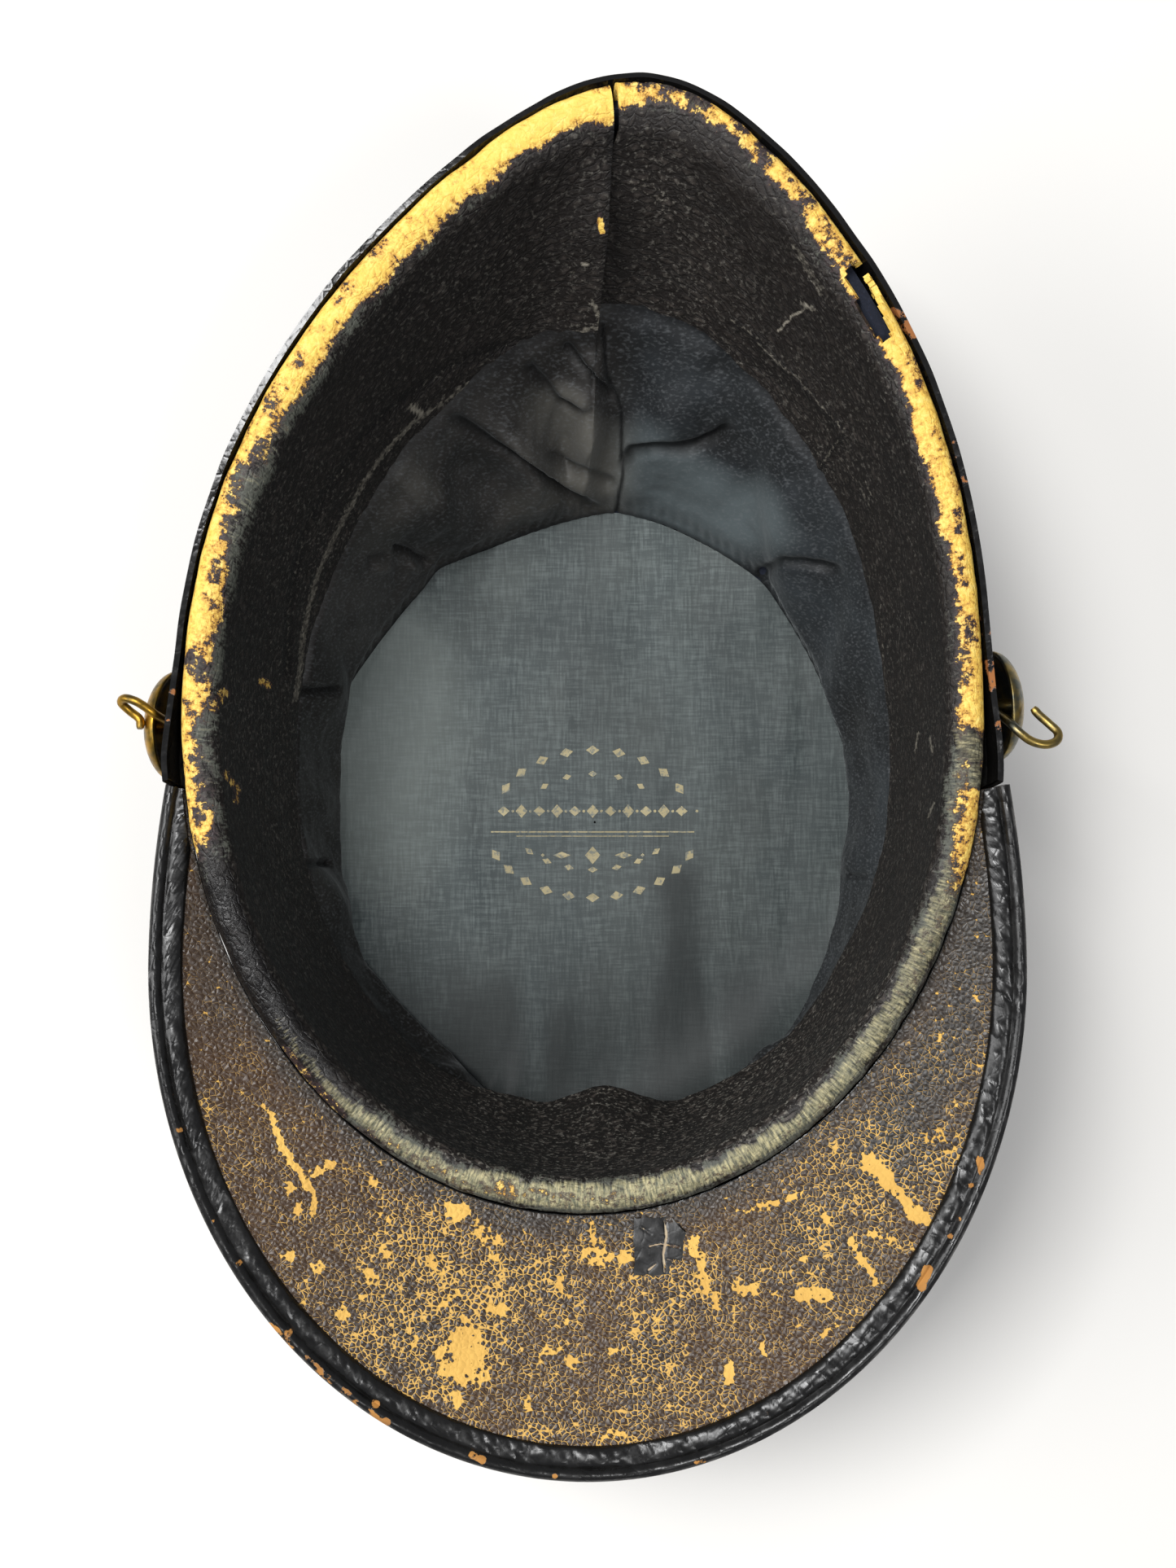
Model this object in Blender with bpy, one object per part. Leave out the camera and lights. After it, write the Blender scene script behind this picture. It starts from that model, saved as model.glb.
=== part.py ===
"""A military cap of the chasseur pattern, lying on its crown with the opening upwards.

The frame is metres with +Z up. The origin is the middle of the crown's flat outer face, which rests at z = 0.
-Y is the wearer's front, where the visor is, and +Y is the back. Every wall follows one surface, the outer
face of the cloth body, and each layer is a distance out of it or into it.
"""

import math

import bmesh
import bpy
from mathutils import Matrix, Vector

MM = 0.001

# Opening, measured over the base band's edge
OPENING_HALF_WIDTH = 78.6 * MM
OPENING_FRONT_LENGTH = 94.2 * MM
OPENING_BACK_LENGTH = 123.1 * MM
OPENING_MIDDLE = Vector((-2.7 * MM, 17.1 * MM))
BACK_PINCH = 0.27
BACK_PINCH_POWER = 3.3
BACK_LEAN = 10.0 * MM
RIM_HEIGHT_FRONT = 76.0 * MM
RIM_HEIGHT_BACK = 100.0 * MM

# Crown
CROWN_HALF_WIDTH = 63.5 * MM
CROWN_HALF_LENGTH = 75.0 * MM
CROWN_THICKNESS = 2.6 * MM
CROWN_TUCK = 1.4 * MM
CROWN_SEAM_HEIGHT = 3.7 * MM
WELT_RADIUS = 1.6 * MM
WELT_HEIGHT = 1.75 * MM
WELT_ROUNDING = 1

# Wall layers, as distances out of the body's outer face (negative ones are inside it)
FIT_GAP = 0.3 * MM
BODY_THICKNESS = 2.2 * MM
BODY_ROWS = 5
BULGE = 2.5 * MM
BAND_THICKNESS = 1.1 * MM
BAND_DEPTH = 24.0 * MM
BAND_EDGE_BACK = 1.0 * MM
BAND_BELOW_VISOR = 1.2 * MM
BAND_FLARE_END = 7.6 * MM
BAND_LIP = 1.0 * MM
BAND_BEND_ABOVE = 0.6 * MM
BAND_BEND_BELOW = 1.6 * MM
BAND_SPLAY = 2.4 * MM
BAND_SPLAY_ANGLE = math.radians(14)
BAND_STEP_FROM = math.radians(0.35)
BAND_STEP_TO = math.radians(1.0)
LEATHER_THICKNESS = 1.2 * MM
ROLL_OUTER = 1.5 * MM
ROLL_INNER = -5.8 * MM
ROLL_DEPTH = 3.6 * MM
ROLL_LEG_DEPTH = 6.0 * MM
ROLL_STEPS = 4
SKIRT_SHARES = (0.34, 0.67, 1.0)
STAND_OFF_POWER = 1.5
BODY_EDGE_DEPTH = 3.3 * MM
SATIN_THICKNESS = 0.8 * MM
SATIN_TOP_DEPTH = 28.0 * MM
SATIN_BELOW_LEATHER = 1.0
SATIN_SHARES = (0.0, 0.33, 0.67, 1.0)
TIP_THICKNESS = 1.0 * MM
TIP_DOME = 1.4 * MM
TIP_SHARES = (0.45, 0.75, 1.0)

# Sweatband: how far its lower edge drops below the rim and stands off the wall, turning from the back's right end
SWEATBAND_TABLE = (
    # (turn in degrees, drop in mm, stand-off in mm)
    (0, 40, 0.5),
    (45, 41, 0.5),
    (90, 48, 0.3),
    (135, 50, 2.0),
    (163, 50, 5.0),
    (181, 50, 12.5),
    (199, 50, 7.0),
    (225, 50, 3.0),
    (270, 50, 0.8),
    (300, 49, 0.3),
    (330, 44, 0.3),
    (346, 42, 0.3),
    (360, 41, 1.6),
)
SPLIT_ANGLE = math.radians(94)
FLAP_LIFT = 2.2 * MM
FLAP_TURN = math.radians(12)
SPLIT_GAP = math.radians(1.2)

# Folds of the satin side lining: ridges that stand inwards between the sweatband and the crown
FOLDED_FROM = math.radians(12)
FOLDED_TO = math.radians(170)
FOLD_FULLNESS = 0.8
FOLD_TABLE = (
    # (angle at the top, angle at the crown, height in mm, half-width in degrees)
    (70, 84, 4.5, 9),
    (96, 92, 6.0, 6),
    (118, 100, 6.5, 9),
    (140, 116, 5.0, 9),
    (48, 40, 5.0, 9),
    (24, 22, 2.4, 8),
    (352, 350, 2.2, 9),
    (312, 306, 3.0, 10),
    (240, 236, 3.2, 10),
    (196, 198, 2.4, 8),
    (164, 160, 2.6, 8),
)

# Visor
VISOR_HALF_WIDTH = 84.9 * MM
VISOR_FRONT_LENGTH = 98.8 * MM
VISOR_BACK_LENGTH = 133.0 * MM
VISOR_MIDDLE = Vector((-1.7 * MM, -26.9 * MM))
VISOR_END_ANGLE = math.radians(-5)
VISOR_OUTER_END_ANGLE = math.radians(14.5)
VISOR_DROP_FRONT = 3.6 * MM
VISOR_DROP_SIDE = 5.4 * MM
VISOR_RISE = 0.2
VISOR_THICKNESS = 1.6 * MM
UNDERLAY_THICKNESS = 0.7 * MM
UNDERLAY_GAP = 0.25 * MM
BINDING_THICKNESS = 0.7 * MM
BINDING_WIDTH = 6.0 * MM
BINDING_ROUND_NEAR = 0.3 * MM
BINDING_ROUND_FAR = 1.2 * MM
VISOR_LEAST_ROOM = 0.4 * MM
VISOR_STEPS = 32
VISOR_ROWS = 3
UNDERLAY_SAMPLES = 20

# Size patch on the visor's underside
PATCH_MIDDLE = Vector((12.6 * MM, -82.2 * MM))
PATCH_WIDTH = 10.4 * MM
PATCH_LENGTH = 10.8 * MM
PATCH_CORNER = 3.0 * MM
PATCH_TRIM_ACROSS = 0.8 * MM
PATCH_TRIM_ALONG = 1.2 * MM
PATCH_THICKNESS = 0.35 * MM

# Side bosses, each with a wire hook soldered to its post
BOSS_RADIUS = 11.0 * MM
BOSS_DOME = 5.0 * MM
BOSS_WALL = 0.8 * MM
BOSS_STANDOFF = 4.2 * MM
BOSS_LEAN = math.radians(7)
BOSS_DEPTH = 13.4 * MM
BOSS_STEPS = 20
BOSS_INNER_TURNS = (0.42, 0.76, 1.0)
BOSS_OUTER_TURNS = (0.8, 0.55, 0.28)
BOSS_SLOPE_REACH = 3.0 * MM
POST_RADIUS = 1.5 * MM
LEFT_BOSS_Y = 23.3 * MM
RIGHT_BOSS_Y = 27.4 * MM
WIRE_RADIUS = 0.85 * MM
WIRE_ROUNDING = 2
HOOK_STEPS_PER_SPAN = 3

LEFT_HOOK_TABLE = (
    # (out of the boss's edge, towards the back, towards the opening), all in mm from the boss's middle
    (-0.6, 0.0, 0.0),
    (-0.6, 0.6, 5.0),
    (-0.6, 1.8, 11.0),
    (0.2, 2.8, 12.6),
    (2.4, 4.2, 13.6),
    (4.8, 4.7, 13.4),
    (6.1, 3.9, 12.2),
    (5.0, 2.4, 10.8),
    (3.2, 0.9, 10.2),
    (2.8, -0.9, 10.6),
)
RIGHT_HOOK_TABLE = (
    # (out of the boss's edge, towards the back, towards the opening), all in mm from the boss's middle
    (-0.6, 0.0, 0.0),
    (-0.6, -1.6, 5.0),
    (-0.6, -3.6, 10.6),
    (0.2, -5.2, 12.2),
    (2.4, -7.2, 13.0),
    (5.2, -8.0, 13.2),
    (7.6, -7.4, 12.8),
    (8.4, -5.8, 11.8),
    (7.2, -4.0, 10.6),
    (5.6, -2.2, 9.8),
    (4.6, -0.8, 9.4),
)

STEPS_AROUND = 64
OUTLINE_STEP = 1e-3
WELD_DISTANCE = 0.001 * MM
FULL_TURN = 2 * math.pi
EDGE_BUILDUP = ROLL_OUTER + FIT_GAP + BAND_THICKNESS
BOARD_TOP = UNDERLAY_THICKNESS + UNDERLAY_GAP
BOARD_BOTTOM = BOARD_TOP + VISOR_THICKNESS
VISOR_BUILDUP = BOARD_BOTTOM + UNDERLAY_GAP + BINDING_THICKNESS
RIM_SLOPE = (RIM_HEIGHT_BACK - RIM_HEIGHT_FRONT) / (OPENING_FRONT_LENGTH + OPENING_BACK_LENGTH)


def clear_scene():
    """Starts from an empty scene."""
    for old in list(bpy.data.objects):
        bpy.data.objects.remove(old)


def make_material(name, colour, roughness, metallic=0.0):
    """A Principled BSDF material of one colour."""
    material = bpy.data.materials.new(name)
    material.use_nodes = True
    shader = material.node_tree.nodes["Principled BSDF"]
    shader.inputs["Base Color"].default_value = (*colour, 1.0)
    shader.inputs["Roughness"].default_value = roughness
    shader.inputs["Metallic"].default_value = metallic
    return material


def add_object(name, data, material):
    """Links an object of that data into the scene."""
    thing = bpy.data.objects.new(name, data)
    thing.data.materials.append(material)
    bpy.context.scene.collection.objects.link(thing)
    return thing


def finish_mesh(name, bm, material, sharp_degrees=40):
    """Turns a bmesh into a smooth-shaded object with its faces pointing out."""
    bmesh.ops.recalc_face_normals(bm, faces=bm.faces)
    mesh = bpy.data.meshes.new(name)
    bm.to_mesh(mesh)
    bm.free()
    mesh.shade_smooth()
    mesh.set_sharp_from_angle(angle=math.radians(sharp_degrees))
    return add_object(name, mesh, material)


def sweep(name, rings, material, joined):
    """A solid skinned over closed rings of points, joined end to end or capped at both ends."""
    bm = bmesh.new()
    loops = [[bm.verts.new(point) for point in ring] for ring in rings]
    pairs = list(zip(loops, loops[1:]))
    if joined:
        pairs.append((loops[-1], loops[0]))
    else:
        bm.faces.new(loops[0])
        bm.faces.new(reversed(loops[-1]))
    for here, there in pairs:
        for k in range(len(here)):
            after = (k + 1) % len(here)
            bm.faces.new((here[k], there[k], there[after], here[after]))
    return finish_mesh(name, bm, material)


def mix(a, b, share):
    """A value between a and b."""
    return a + (b - a) * share


def smooth_step(low, high, value):
    """0 below low, 1 above high, and a smooth change between them."""
    share = min(1.0, max(0.0, (value - low) / (high - low)))
    return share * share * (3 - 2 * share)


def opening_xy(angle):
    """The opening's outer edge from above: a half ellipse in front, and a pinched, leaning one at the back."""
    across, along = math.cos(angle), math.sin(angle)
    if along < 0:
        offset = Vector((OPENING_HALF_WIDTH * across, OPENING_FRONT_LENGTH * along))
    else:
        pinch = 1 - BACK_PINCH * along**BACK_PINCH_POWER
        lean = BACK_LEAN * along**2
        offset = Vector((OPENING_HALF_WIDTH * across * pinch + lean, OPENING_BACK_LENGTH * along))
    return OPENING_MIDDLE + offset


def crown_xy(angle):
    """The body's outer edge at the crown, an oval."""
    return Vector((CROWN_HALF_WIDTH * math.cos(angle), CROWN_HALF_LENGTH * math.sin(angle)))


def outward(outline, angle):
    """The direction out of an outline at that angle."""
    along = outline(angle + OUTLINE_STEP) - outline(angle - OUTLINE_STEP)
    return Vector((along.y, -along.x)).normalized()


def rim_height(y):
    """The height of the opening's plane, which climbs towards the back."""
    return RIM_HEIGHT_FRONT + RIM_SLOPE * (y - OPENING_MIDDLE.y + OPENING_FRONT_LENGTH)


def wall_share(angle, height):
    """0 at the opening and 1 at the crown's seam."""
    top = rim_height(opening_xy(angle).y)
    return (top - height) / (top - CROWN_SEAM_HEIGHT)


def wall_point(angle, out, depth=None, height=None):
    """A point at a distance out of the body's outer face, at a depth below the rim or at a height."""
    edge = opening_xy(angle)
    if height is None:
        height = rim_height(edge.y) - depth
    share = wall_share(angle, height)
    edge_normal = outward(opening_xy, angle)
    crown_normal = outward(crown_xy, angle)
    normal = edge_normal.lerp(crown_normal, min(1.0, max(0.0, share))).normalized()
    plan = (edge - edge_normal * EDGE_BUILDUP).lerp(crown_xy(angle), share)
    swell = BULGE * math.sin(math.pi * min(1.0, max(0.0, share)))
    plan += normal * (out + swell)
    return Vector((plan.x, plan.y, height))


def turn_angles():
    """Evenly spaced angles for a whole turn."""
    return [FULL_TURN * k / STEPS_AROUND for k in range(STEPS_AROUND)]


def build_crown_top(material):
    """The flat oval of cloth on board that the cap lies on."""
    inner = WELT_RADIUS * 2 - CROWN_TUCK + FIT_GAP
    bm = bmesh.new()
    made = bmesh.ops.create_circle(bm, cap_ends=True, radius=1.0, segments=STEPS_AROUND)
    size = Vector((CROWN_HALF_WIDTH - inner, CROWN_HALF_LENGTH - inner, 1.0))
    bmesh.ops.scale(bm, vec=size, verts=made["verts"])
    lifted = bmesh.ops.extrude_face_region(bm, geom=bm.faces[:])
    top = [v for v in lifted["geom"] if isinstance(v, bmesh.types.BMVert)]
    bmesh.ops.translate(bm, vec=(0, 0, CROWN_THICKNESS), verts=top)
    return finish_mesh("crown_top", bm, material)


def build_crown_welt(material):
    """The piping in the seam between the crown and the body, a closed tube on an oval."""
    curve = bpy.data.curves.new("crown_welt", "CURVE")
    curve.dimensions = "3D"
    curve.bevel_depth = WELT_RADIUS
    curve.bevel_resolution = WELT_ROUNDING
    spline = curve.splines.new("POLY")
    spline.points.add(STEPS_AROUND - 1)
    for point, angle in zip(spline.points, turn_angles()):
        place = crown_xy(angle) - outward(crown_xy, angle) * FIT_GAP
        point.co = (place.x, place.y, WELT_HEIGHT, 1.0)
    spline.use_cyclic_u = True
    return add_object("crown_welt", curve, material)


def build_cap_body(material):
    """The stiffened cloth side wall, from under the rim's roll down to the crown's seam."""
    rings = []
    for angle in turn_angles():
        top = rim_height(opening_xy(angle).y) - BODY_EDGE_DEPTH
        heights = [mix(top, CROWN_SEAM_HEIGHT, k / (BODY_ROWS - 1)) for k in range(BODY_ROWS)]
        outside = [wall_point(angle, 0.0, height=h) for h in heights]
        inside = [wall_point(angle, -BODY_THICKNESS, height=h) for h in reversed(heights)]
        rings.append(outside + inside)
    return sweep("cap_body", rings, material, joined=True)


def visor_drop(angle):
    """How far below the rim the visor's underside meets the cap."""
    return mix(VISOR_DROP_SIDE, VISOR_DROP_FRONT, max(0.0, -math.sin(angle)))


def build_base_band(material):
    """The patent leather band round the base. It laps the rim's roll, splays towards the visor and clears it."""
    visor_end = VISOR_END_ANGLE + BAND_STEP_FROM
    band_end = VISOR_END_ANGLE + BAND_STEP_TO
    angles = turn_angles() + [visor_end, band_end, math.pi - band_end, math.pi - visor_end]
    rings = []
    for angle in sorted(a % FULL_TURN for a in angles):
        latitude = math.asin(math.sin(angle))
        behind = smooth_step(visor_end, band_end, latitude)
        splay = BAND_SPLAY * (1.0 - smooth_step(band_end, band_end + BAND_SPLAY_ANGLE, latitude)) * behind
        below_visor = visor_drop(angle) + VISOR_BUILDUP + BAND_BELOW_VISOR
        edge = mix(below_visor, BAND_EDGE_BACK, behind)
        flare_end = max(BAND_FLARE_END, edge + BAND_LIP)
        near = FIT_GAP + BAND_THICKNESS
        outside = [
            (near + ROLL_OUTER + splay, edge),
            (near + ROLL_OUTER + splay / 2, flare_end - BAND_BEND_ABOVE),
            (near, flare_end + BAND_BEND_BELOW),
            (near, BAND_DEPTH),
        ]
        inside = [(out - BAND_THICKNESS, depth) for out, depth in reversed(outside)]
        rings.append([wall_point(angle, out, depth=depth) for out, depth in outside + inside])
    return sweep("base_band", rings, material, joined=True)


def from_table(table, column, value):
    """A column of a table, smoothly interpolated over its first one."""
    for before, after in zip(table, table[1:]):
        if value <= after[0]:
            share = smooth_step(before[0], after[0], value)
            return mix(before[column], after[column], share)
    return table[-1][column]


def sweatband_profile(turn):
    """The leather's section at a share of the whole turn: a short outer leg, a roll over the rim and a skirt."""
    degrees = turn * 360
    drop = from_table(SWEATBAND_TABLE, 1, degrees) * MM
    stand_off = from_table(SWEATBAND_TABLE, 2, degrees) * MM
    lift = FLAP_LIFT * smooth_step(1 - FLAP_TURN / FULL_TURN, 1, turn)
    middle = (ROLL_OUTER + ROLL_INNER) / 2
    half = (ROLL_OUTER - ROLL_INNER) / 2

    def face(thickness):
        leg = ROLL_OUTER - thickness
        points = [(leg, ROLL_LEG_DEPTH)]
        for k in range(ROLL_STEPS + 1):
            turned = math.pi * k / ROLL_STEPS
            reach = half - thickness
            height = ROLL_DEPTH - thickness
            points.append((middle + reach * math.cos(turned), ROLL_DEPTH - height * math.sin(turned)))
        for share in SKIRT_SHARES:
            out = ROLL_INNER + thickness - stand_off * share**STAND_OFF_POWER - lift * share
            points.append((out, mix(ROLL_DEPTH, drop, share)))
        return points

    return face(0.0) + list(reversed(face(LEATHER_THICKNESS)))


def build_sweatband(material):
    """The leather sweatband: one strip rolled over the rim, split at the back, its left end lapping inside."""
    span = FULL_TURN - SPLIT_GAP
    turned = [(SPLIT_ANGLE - angle) % FULL_TURN for angle in turn_angles()]
    between = sorted(angle for angle in turned if SPLIT_GAP < angle < span - SPLIT_GAP)
    rings = []
    for angle in [0.0, *between, span]:
        profile = sweatband_profile(angle / span)
        rings.append([wall_point(SPLIT_ANGLE - angle, out, depth=depth) for out, depth in profile])
    return sweep("sweatband", rings, material, joined=False)


def fold_height(angle, share):
    """How far the folds push the satin inwards there. share runs from 0 at the top to 1 at the crown."""
    degrees = math.degrees(angle)
    window = math.sin(math.pi * smooth_step(0.0, 1.0, share)) ** FOLD_FULLNESS
    total = 0.0
    for top, foot, height, half_width in FOLD_TABLE:
        middle = mix(top, foot, share)
        away = abs((degrees - middle + 180) % 360 - 180)
        if away < half_width:
            total = max(total, height * math.cos(math.pi / 2 * away / half_width) ** 2)
    return total * window * MM


def build_lining_side(material):
    """The loose satin side lining, from behind the sweatband to the edge of the tip."""
    foot = CROWN_SEAM_HEIGHT + FIT_GAP
    half_step = math.pi / STEPS_AROUND
    folded = [angle + half_step for angle in turn_angles() if FOLDED_FROM < angle < FOLDED_TO]
    rings = []
    for angle in sorted(turn_angles() + folded):
        rim = rim_height(opening_xy(angle).y)
        turn = ((SPLIT_ANGLE - angle) % FULL_TURN) / FULL_TURN
        free = rim - (from_table(SWEATBAND_TABLE, 1, turn * 360) + SATIN_BELOW_LEATHER) * MM
        heights = [rim - SATIN_TOP_DEPTH] + [mix(free, foot, s) for s in SATIN_SHARES]
        folds = [0.0] + [fold_height(angle, s) for s in SATIN_SHARES]
        near = -BODY_THICKNESS - 2 * FIT_GAP
        outside = [wall_point(angle, near - f, height=h) for f, h in zip(folds, heights)]
        inside = [wall_point(angle, near - SATIN_THICKNESS - f, height=h) for f, h in zip(folds, heights)]
        rings.append(outside + list(reversed(inside)))
    return sweep("lining_side", rings, material, joined=True)


def build_lining_tip(material):
    """The oval of cotton inside the crown, slightly domed."""
    inset = BODY_THICKNESS + 3 * FIT_GAP + SATIN_THICKNESS
    low = CROWN_THICKNESS + FIT_GAP
    bm = bmesh.new()
    layers = []
    for lift in (low + TIP_THICKNESS, low):
        centre = bm.verts.new((0, 0, lift + TIP_DOME))
        rings = []
        for share in TIP_SHARES:
            ring = []
            for angle in turn_angles():
                place = (crown_xy(angle) - outward(crown_xy, angle) * inset) * share
                dome = TIP_DOME * (1 - share**2)
                ring.append(bm.verts.new((place.x, place.y, lift + dome)))
            rings.append(ring)
        layers.append((centre, rings))
    for centre, rings in layers:
        for k in range(STEPS_AROUND):
            after = (k + 1) % STEPS_AROUND
            bm.faces.new((centre, rings[0][k], rings[0][after]))
            for near, far in zip(rings, rings[1:]):
                bm.faces.new((near[k], far[k], far[after], near[after]))
    upper, lower = layers[0][1][-1], layers[1][1][-1]
    for k in range(STEPS_AROUND):
        after = (k + 1) % STEPS_AROUND
        bm.faces.new((upper[k], lower[k], lower[after], upper[after]))
    return finish_mesh("lining_tip", bm, material)


def visor_edge_xy(angle):
    """The visor's outer outline: an ellipse in front of its widest place and a longer one behind it."""
    length = VISOR_FRONT_LENGTH if math.sin(angle) < 0 else VISOR_BACK_LENGTH
    return VISOR_MIDDLE + Vector((VISOR_HALF_WIDTH * math.cos(angle), length * math.sin(angle)))


def visor_angles(step):
    """The angles of the inner and the outer outline at a step from the left end to the right end."""
    share = step / VISOR_STEPS
    inner = mix(math.pi - VISOR_END_ANGLE, FULL_TURN + VISOR_END_ANGLE, share)
    outer = mix(math.pi - VISOR_OUTER_END_ANGLE, FULL_TURN + VISOR_OUTER_END_ANGLE, share)
    return inner, outer


def visor_point(step, across, down):
    """A point of the visor. across is 0 at the cap and 1 at the edge, and down is measured from its underside."""
    inner_angle, outer_angle = visor_angles(step)
    rim = rim_height(opening_xy(inner_angle).y)
    drop = visor_drop(inner_angle)
    inner = wall_point(inner_angle, ROLL_OUTER + 2 * FIT_GAP, depth=drop)
    outer = visor_edge_xy(outer_angle)
    plan = inner.xy.lerp(outer, across)
    width = (outer - inner.xy).length
    height = rim - drop + width * across * VISOR_RISE
    return Vector((plan.x, plan.y, height - down))


def visor_share(step, from_edge):
    """How far across the visor a point is that lies that far inside its outline, measured square to it."""
    reach = (visor_point(step, 1.0, 0.0) - visor_point(step, 0.0, 0.0)).xy
    square_reach = reach.dot(outward(visor_edge_xy, visor_angles(step)[1]))
    return 1.0 - min(from_edge, square_reach - VISOR_LEAST_ROOM) / square_reach


def visor_sheet(name, material, top, bottom, edge_room):
    """A sheet of the visor between two depths, held back from the cap and from the outline."""
    rings = []
    for step in range(VISOR_STEPS + 1):
        last = visor_share(step, edge_room)
        shares = [last * k / VISOR_ROWS for k in range(VISOR_ROWS + 1)]
        upper = [visor_point(step, s, top) for s in shares]
        lower = [visor_point(step, s, bottom) for s in reversed(shares)]
        rings.append(upper + lower)
    return sweep(name, rings, material, joined=False)


def build_visor_binding(material):
    """The narrow patent leather strip folded round the visor's edge."""
    total = BOARD_BOTTOM
    gap = UNDERLAY_GAP
    skin = BINDING_THICKNESS
    section = (
        # (distance in from the outline, depth below the underside)
        (BINDING_WIDTH, -gap - skin),
        (BINDING_ROUND_FAR, -gap - skin),
        (BINDING_ROUND_NEAR, -gap),
        (0.0, total / 2),
        (BINDING_ROUND_NEAR, total + gap),
        (BINDING_ROUND_FAR, total + gap + skin),
        (BINDING_WIDTH, total + gap + skin),
        (BINDING_WIDTH, total + gap),
        (skin, total + gap),
        (skin, -gap),
        (BINDING_WIDTH, -gap),
    )
    rings = []
    for step in range(VISOR_STEPS + 1):
        rings.append([visor_point(step, visor_share(step, inwards), down) for inwards, down in section])
    return sweep("visor_binding", rings, material, joined=False)


def underlay_height(x, y):
    """The height of the visor's underside near its middle line."""
    best = min(
        (
            visor_point(step, sample / UNDERLAY_SAMPLES, 0.0)
            for step in range(VISOR_STEPS + 1)
            for sample in range(UNDERLAY_SAMPLES + 1)
        ),
        key=lambda p: (p.xy - Vector((x, y))).length,
    )
    return best.z + (best.y - y) * VISOR_RISE


def build_size_patch(material):
    """The small square label with one torn corner, stuck to the visor's underside."""
    half_x, half_y = PATCH_WIDTH / 2, PATCH_LENGTH / 2
    corners = (
        (-half_x, -half_y),
        (half_x - PATCH_TRIM_ACROSS, -half_y),
        (half_x, -half_y + PATCH_TRIM_ALONG),
        (half_x, half_y - PATCH_CORNER),
        (half_x - PATCH_CORNER, half_y - PATCH_TRIM_ACROSS),
        (-half_x, half_y),
    )
    bm = bmesh.new()
    outline = []
    for x, y in corners:
        place = PATCH_MIDDLE + Vector((x, y))
        outline.append(bm.verts.new((place.x, place.y, underlay_height(place.x, place.y) + FIT_GAP)))
    face = bm.faces.new(outline)
    lifted = bmesh.ops.extrude_face_region(bm, geom=[face])
    top = [v for v in lifted["geom"] if isinstance(v, bmesh.types.BMVert)]
    bmesh.ops.translate(bm, vec=(0, 0, PATCH_THICKNESS), verts=top)
    return finish_mesh("size_patch", bm, material)


def boss_frame(side, y):
    """A boss's middle, on the plane of its edge, and the directions out, to the back and to the opening."""
    angle = math.asin((y - OPENING_MIDDLE.y) / OPENING_BACK_LENGTH)
    if side < 0:
        angle = math.pi - angle
    seat = wall_point(angle, FIT_GAP + BAND_THICKNESS, depth=BOSS_DEPTH)
    above = wall_point(angle, FIT_GAP + BAND_THICKNESS, depth=BOSS_DEPTH - BOSS_SLOPE_REACH)
    plan = outward(opening_xy, angle)
    along = Vector((-plan.y, plan.x, 0)) * side
    rise = above - seat
    up = (rise - along * rise.dot(along)).normalized()
    out = along.cross(up) * side
    leaned_out = out * math.cos(BOSS_LEAN) - up * math.sin(BOSS_LEAN)
    leaned_up = up * math.cos(BOSS_LEAN) + out * math.sin(BOSS_LEAN)
    return seat + out * BOSS_STANDOFF, leaned_out, along, leaned_up


def build_boss(name, side, y, material):
    """A domed brass boss with a post behind it, turned from one profile."""
    inner_radius = BOSS_RADIUS - BOSS_WALL
    inner_dome = BOSS_DOME - BOSS_WALL
    post_end = -BOSS_STANDOFF + FIT_GAP
    profile = [(0.0, post_end), (POST_RADIUS, post_end)]
    profile.append((POST_RADIUS, inner_dome * math.cos(math.asin(POST_RADIUS / inner_radius))))
    for share in BOSS_INNER_TURNS:
        turned = share * math.pi / 2
        profile.append((inner_radius * math.sin(turned), inner_dome * math.cos(turned)))
    profile.append((BOSS_RADIUS, 0.0))
    for share in BOSS_OUTER_TURNS:
        turned = share * math.pi / 2
        profile.append((BOSS_RADIUS * math.sin(turned), BOSS_DOME * math.cos(turned)))
    profile.append((0.0, BOSS_DOME))
    bm = bmesh.new()
    line = [bm.verts.new((radius, 0.0, height)) for radius, height in profile]
    edges = [bm.edges.new(pair) for pair in zip(line, line[1:])]
    bmesh.ops.spin(
        bm, geom=line + edges, cent=(0, 0, 0), axis=(0, 0, 1), angle=FULL_TURN, steps=BOSS_STEPS, use_merge=True
    )
    bmesh.ops.remove_doubles(bm, verts=bm.verts, dist=WELD_DISTANCE)
    boss = finish_mesh(name, bm, material)
    middle, out, along, up = boss_frame(side, y)
    turn = Matrix((along, out.cross(along), out)).transposed().to_4x4()
    boss.matrix_world = Matrix.Translation(middle) @ turn
    return boss


def through(points, steps):
    """Points along one smooth curve that passes through the given ones."""
    ends = [points[0] * 2 - points[1], *points, points[-1] * 2 - points[-2]]
    smooth = []
    for k in range(1, len(ends) - 2):
        a, b, c, d = ends[k - 1 : k + 3]
        for step in range(steps):
            t = step / steps
            smooth.append(
                (b * 2 + (c - a) * t + (a * 2 - b * 5 + c * 4 - d) * t**2 + (b * 3 - a - c * 3 + d) * t**3) / 2
            )
    smooth.append(points[-1])
    return smooth


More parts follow.
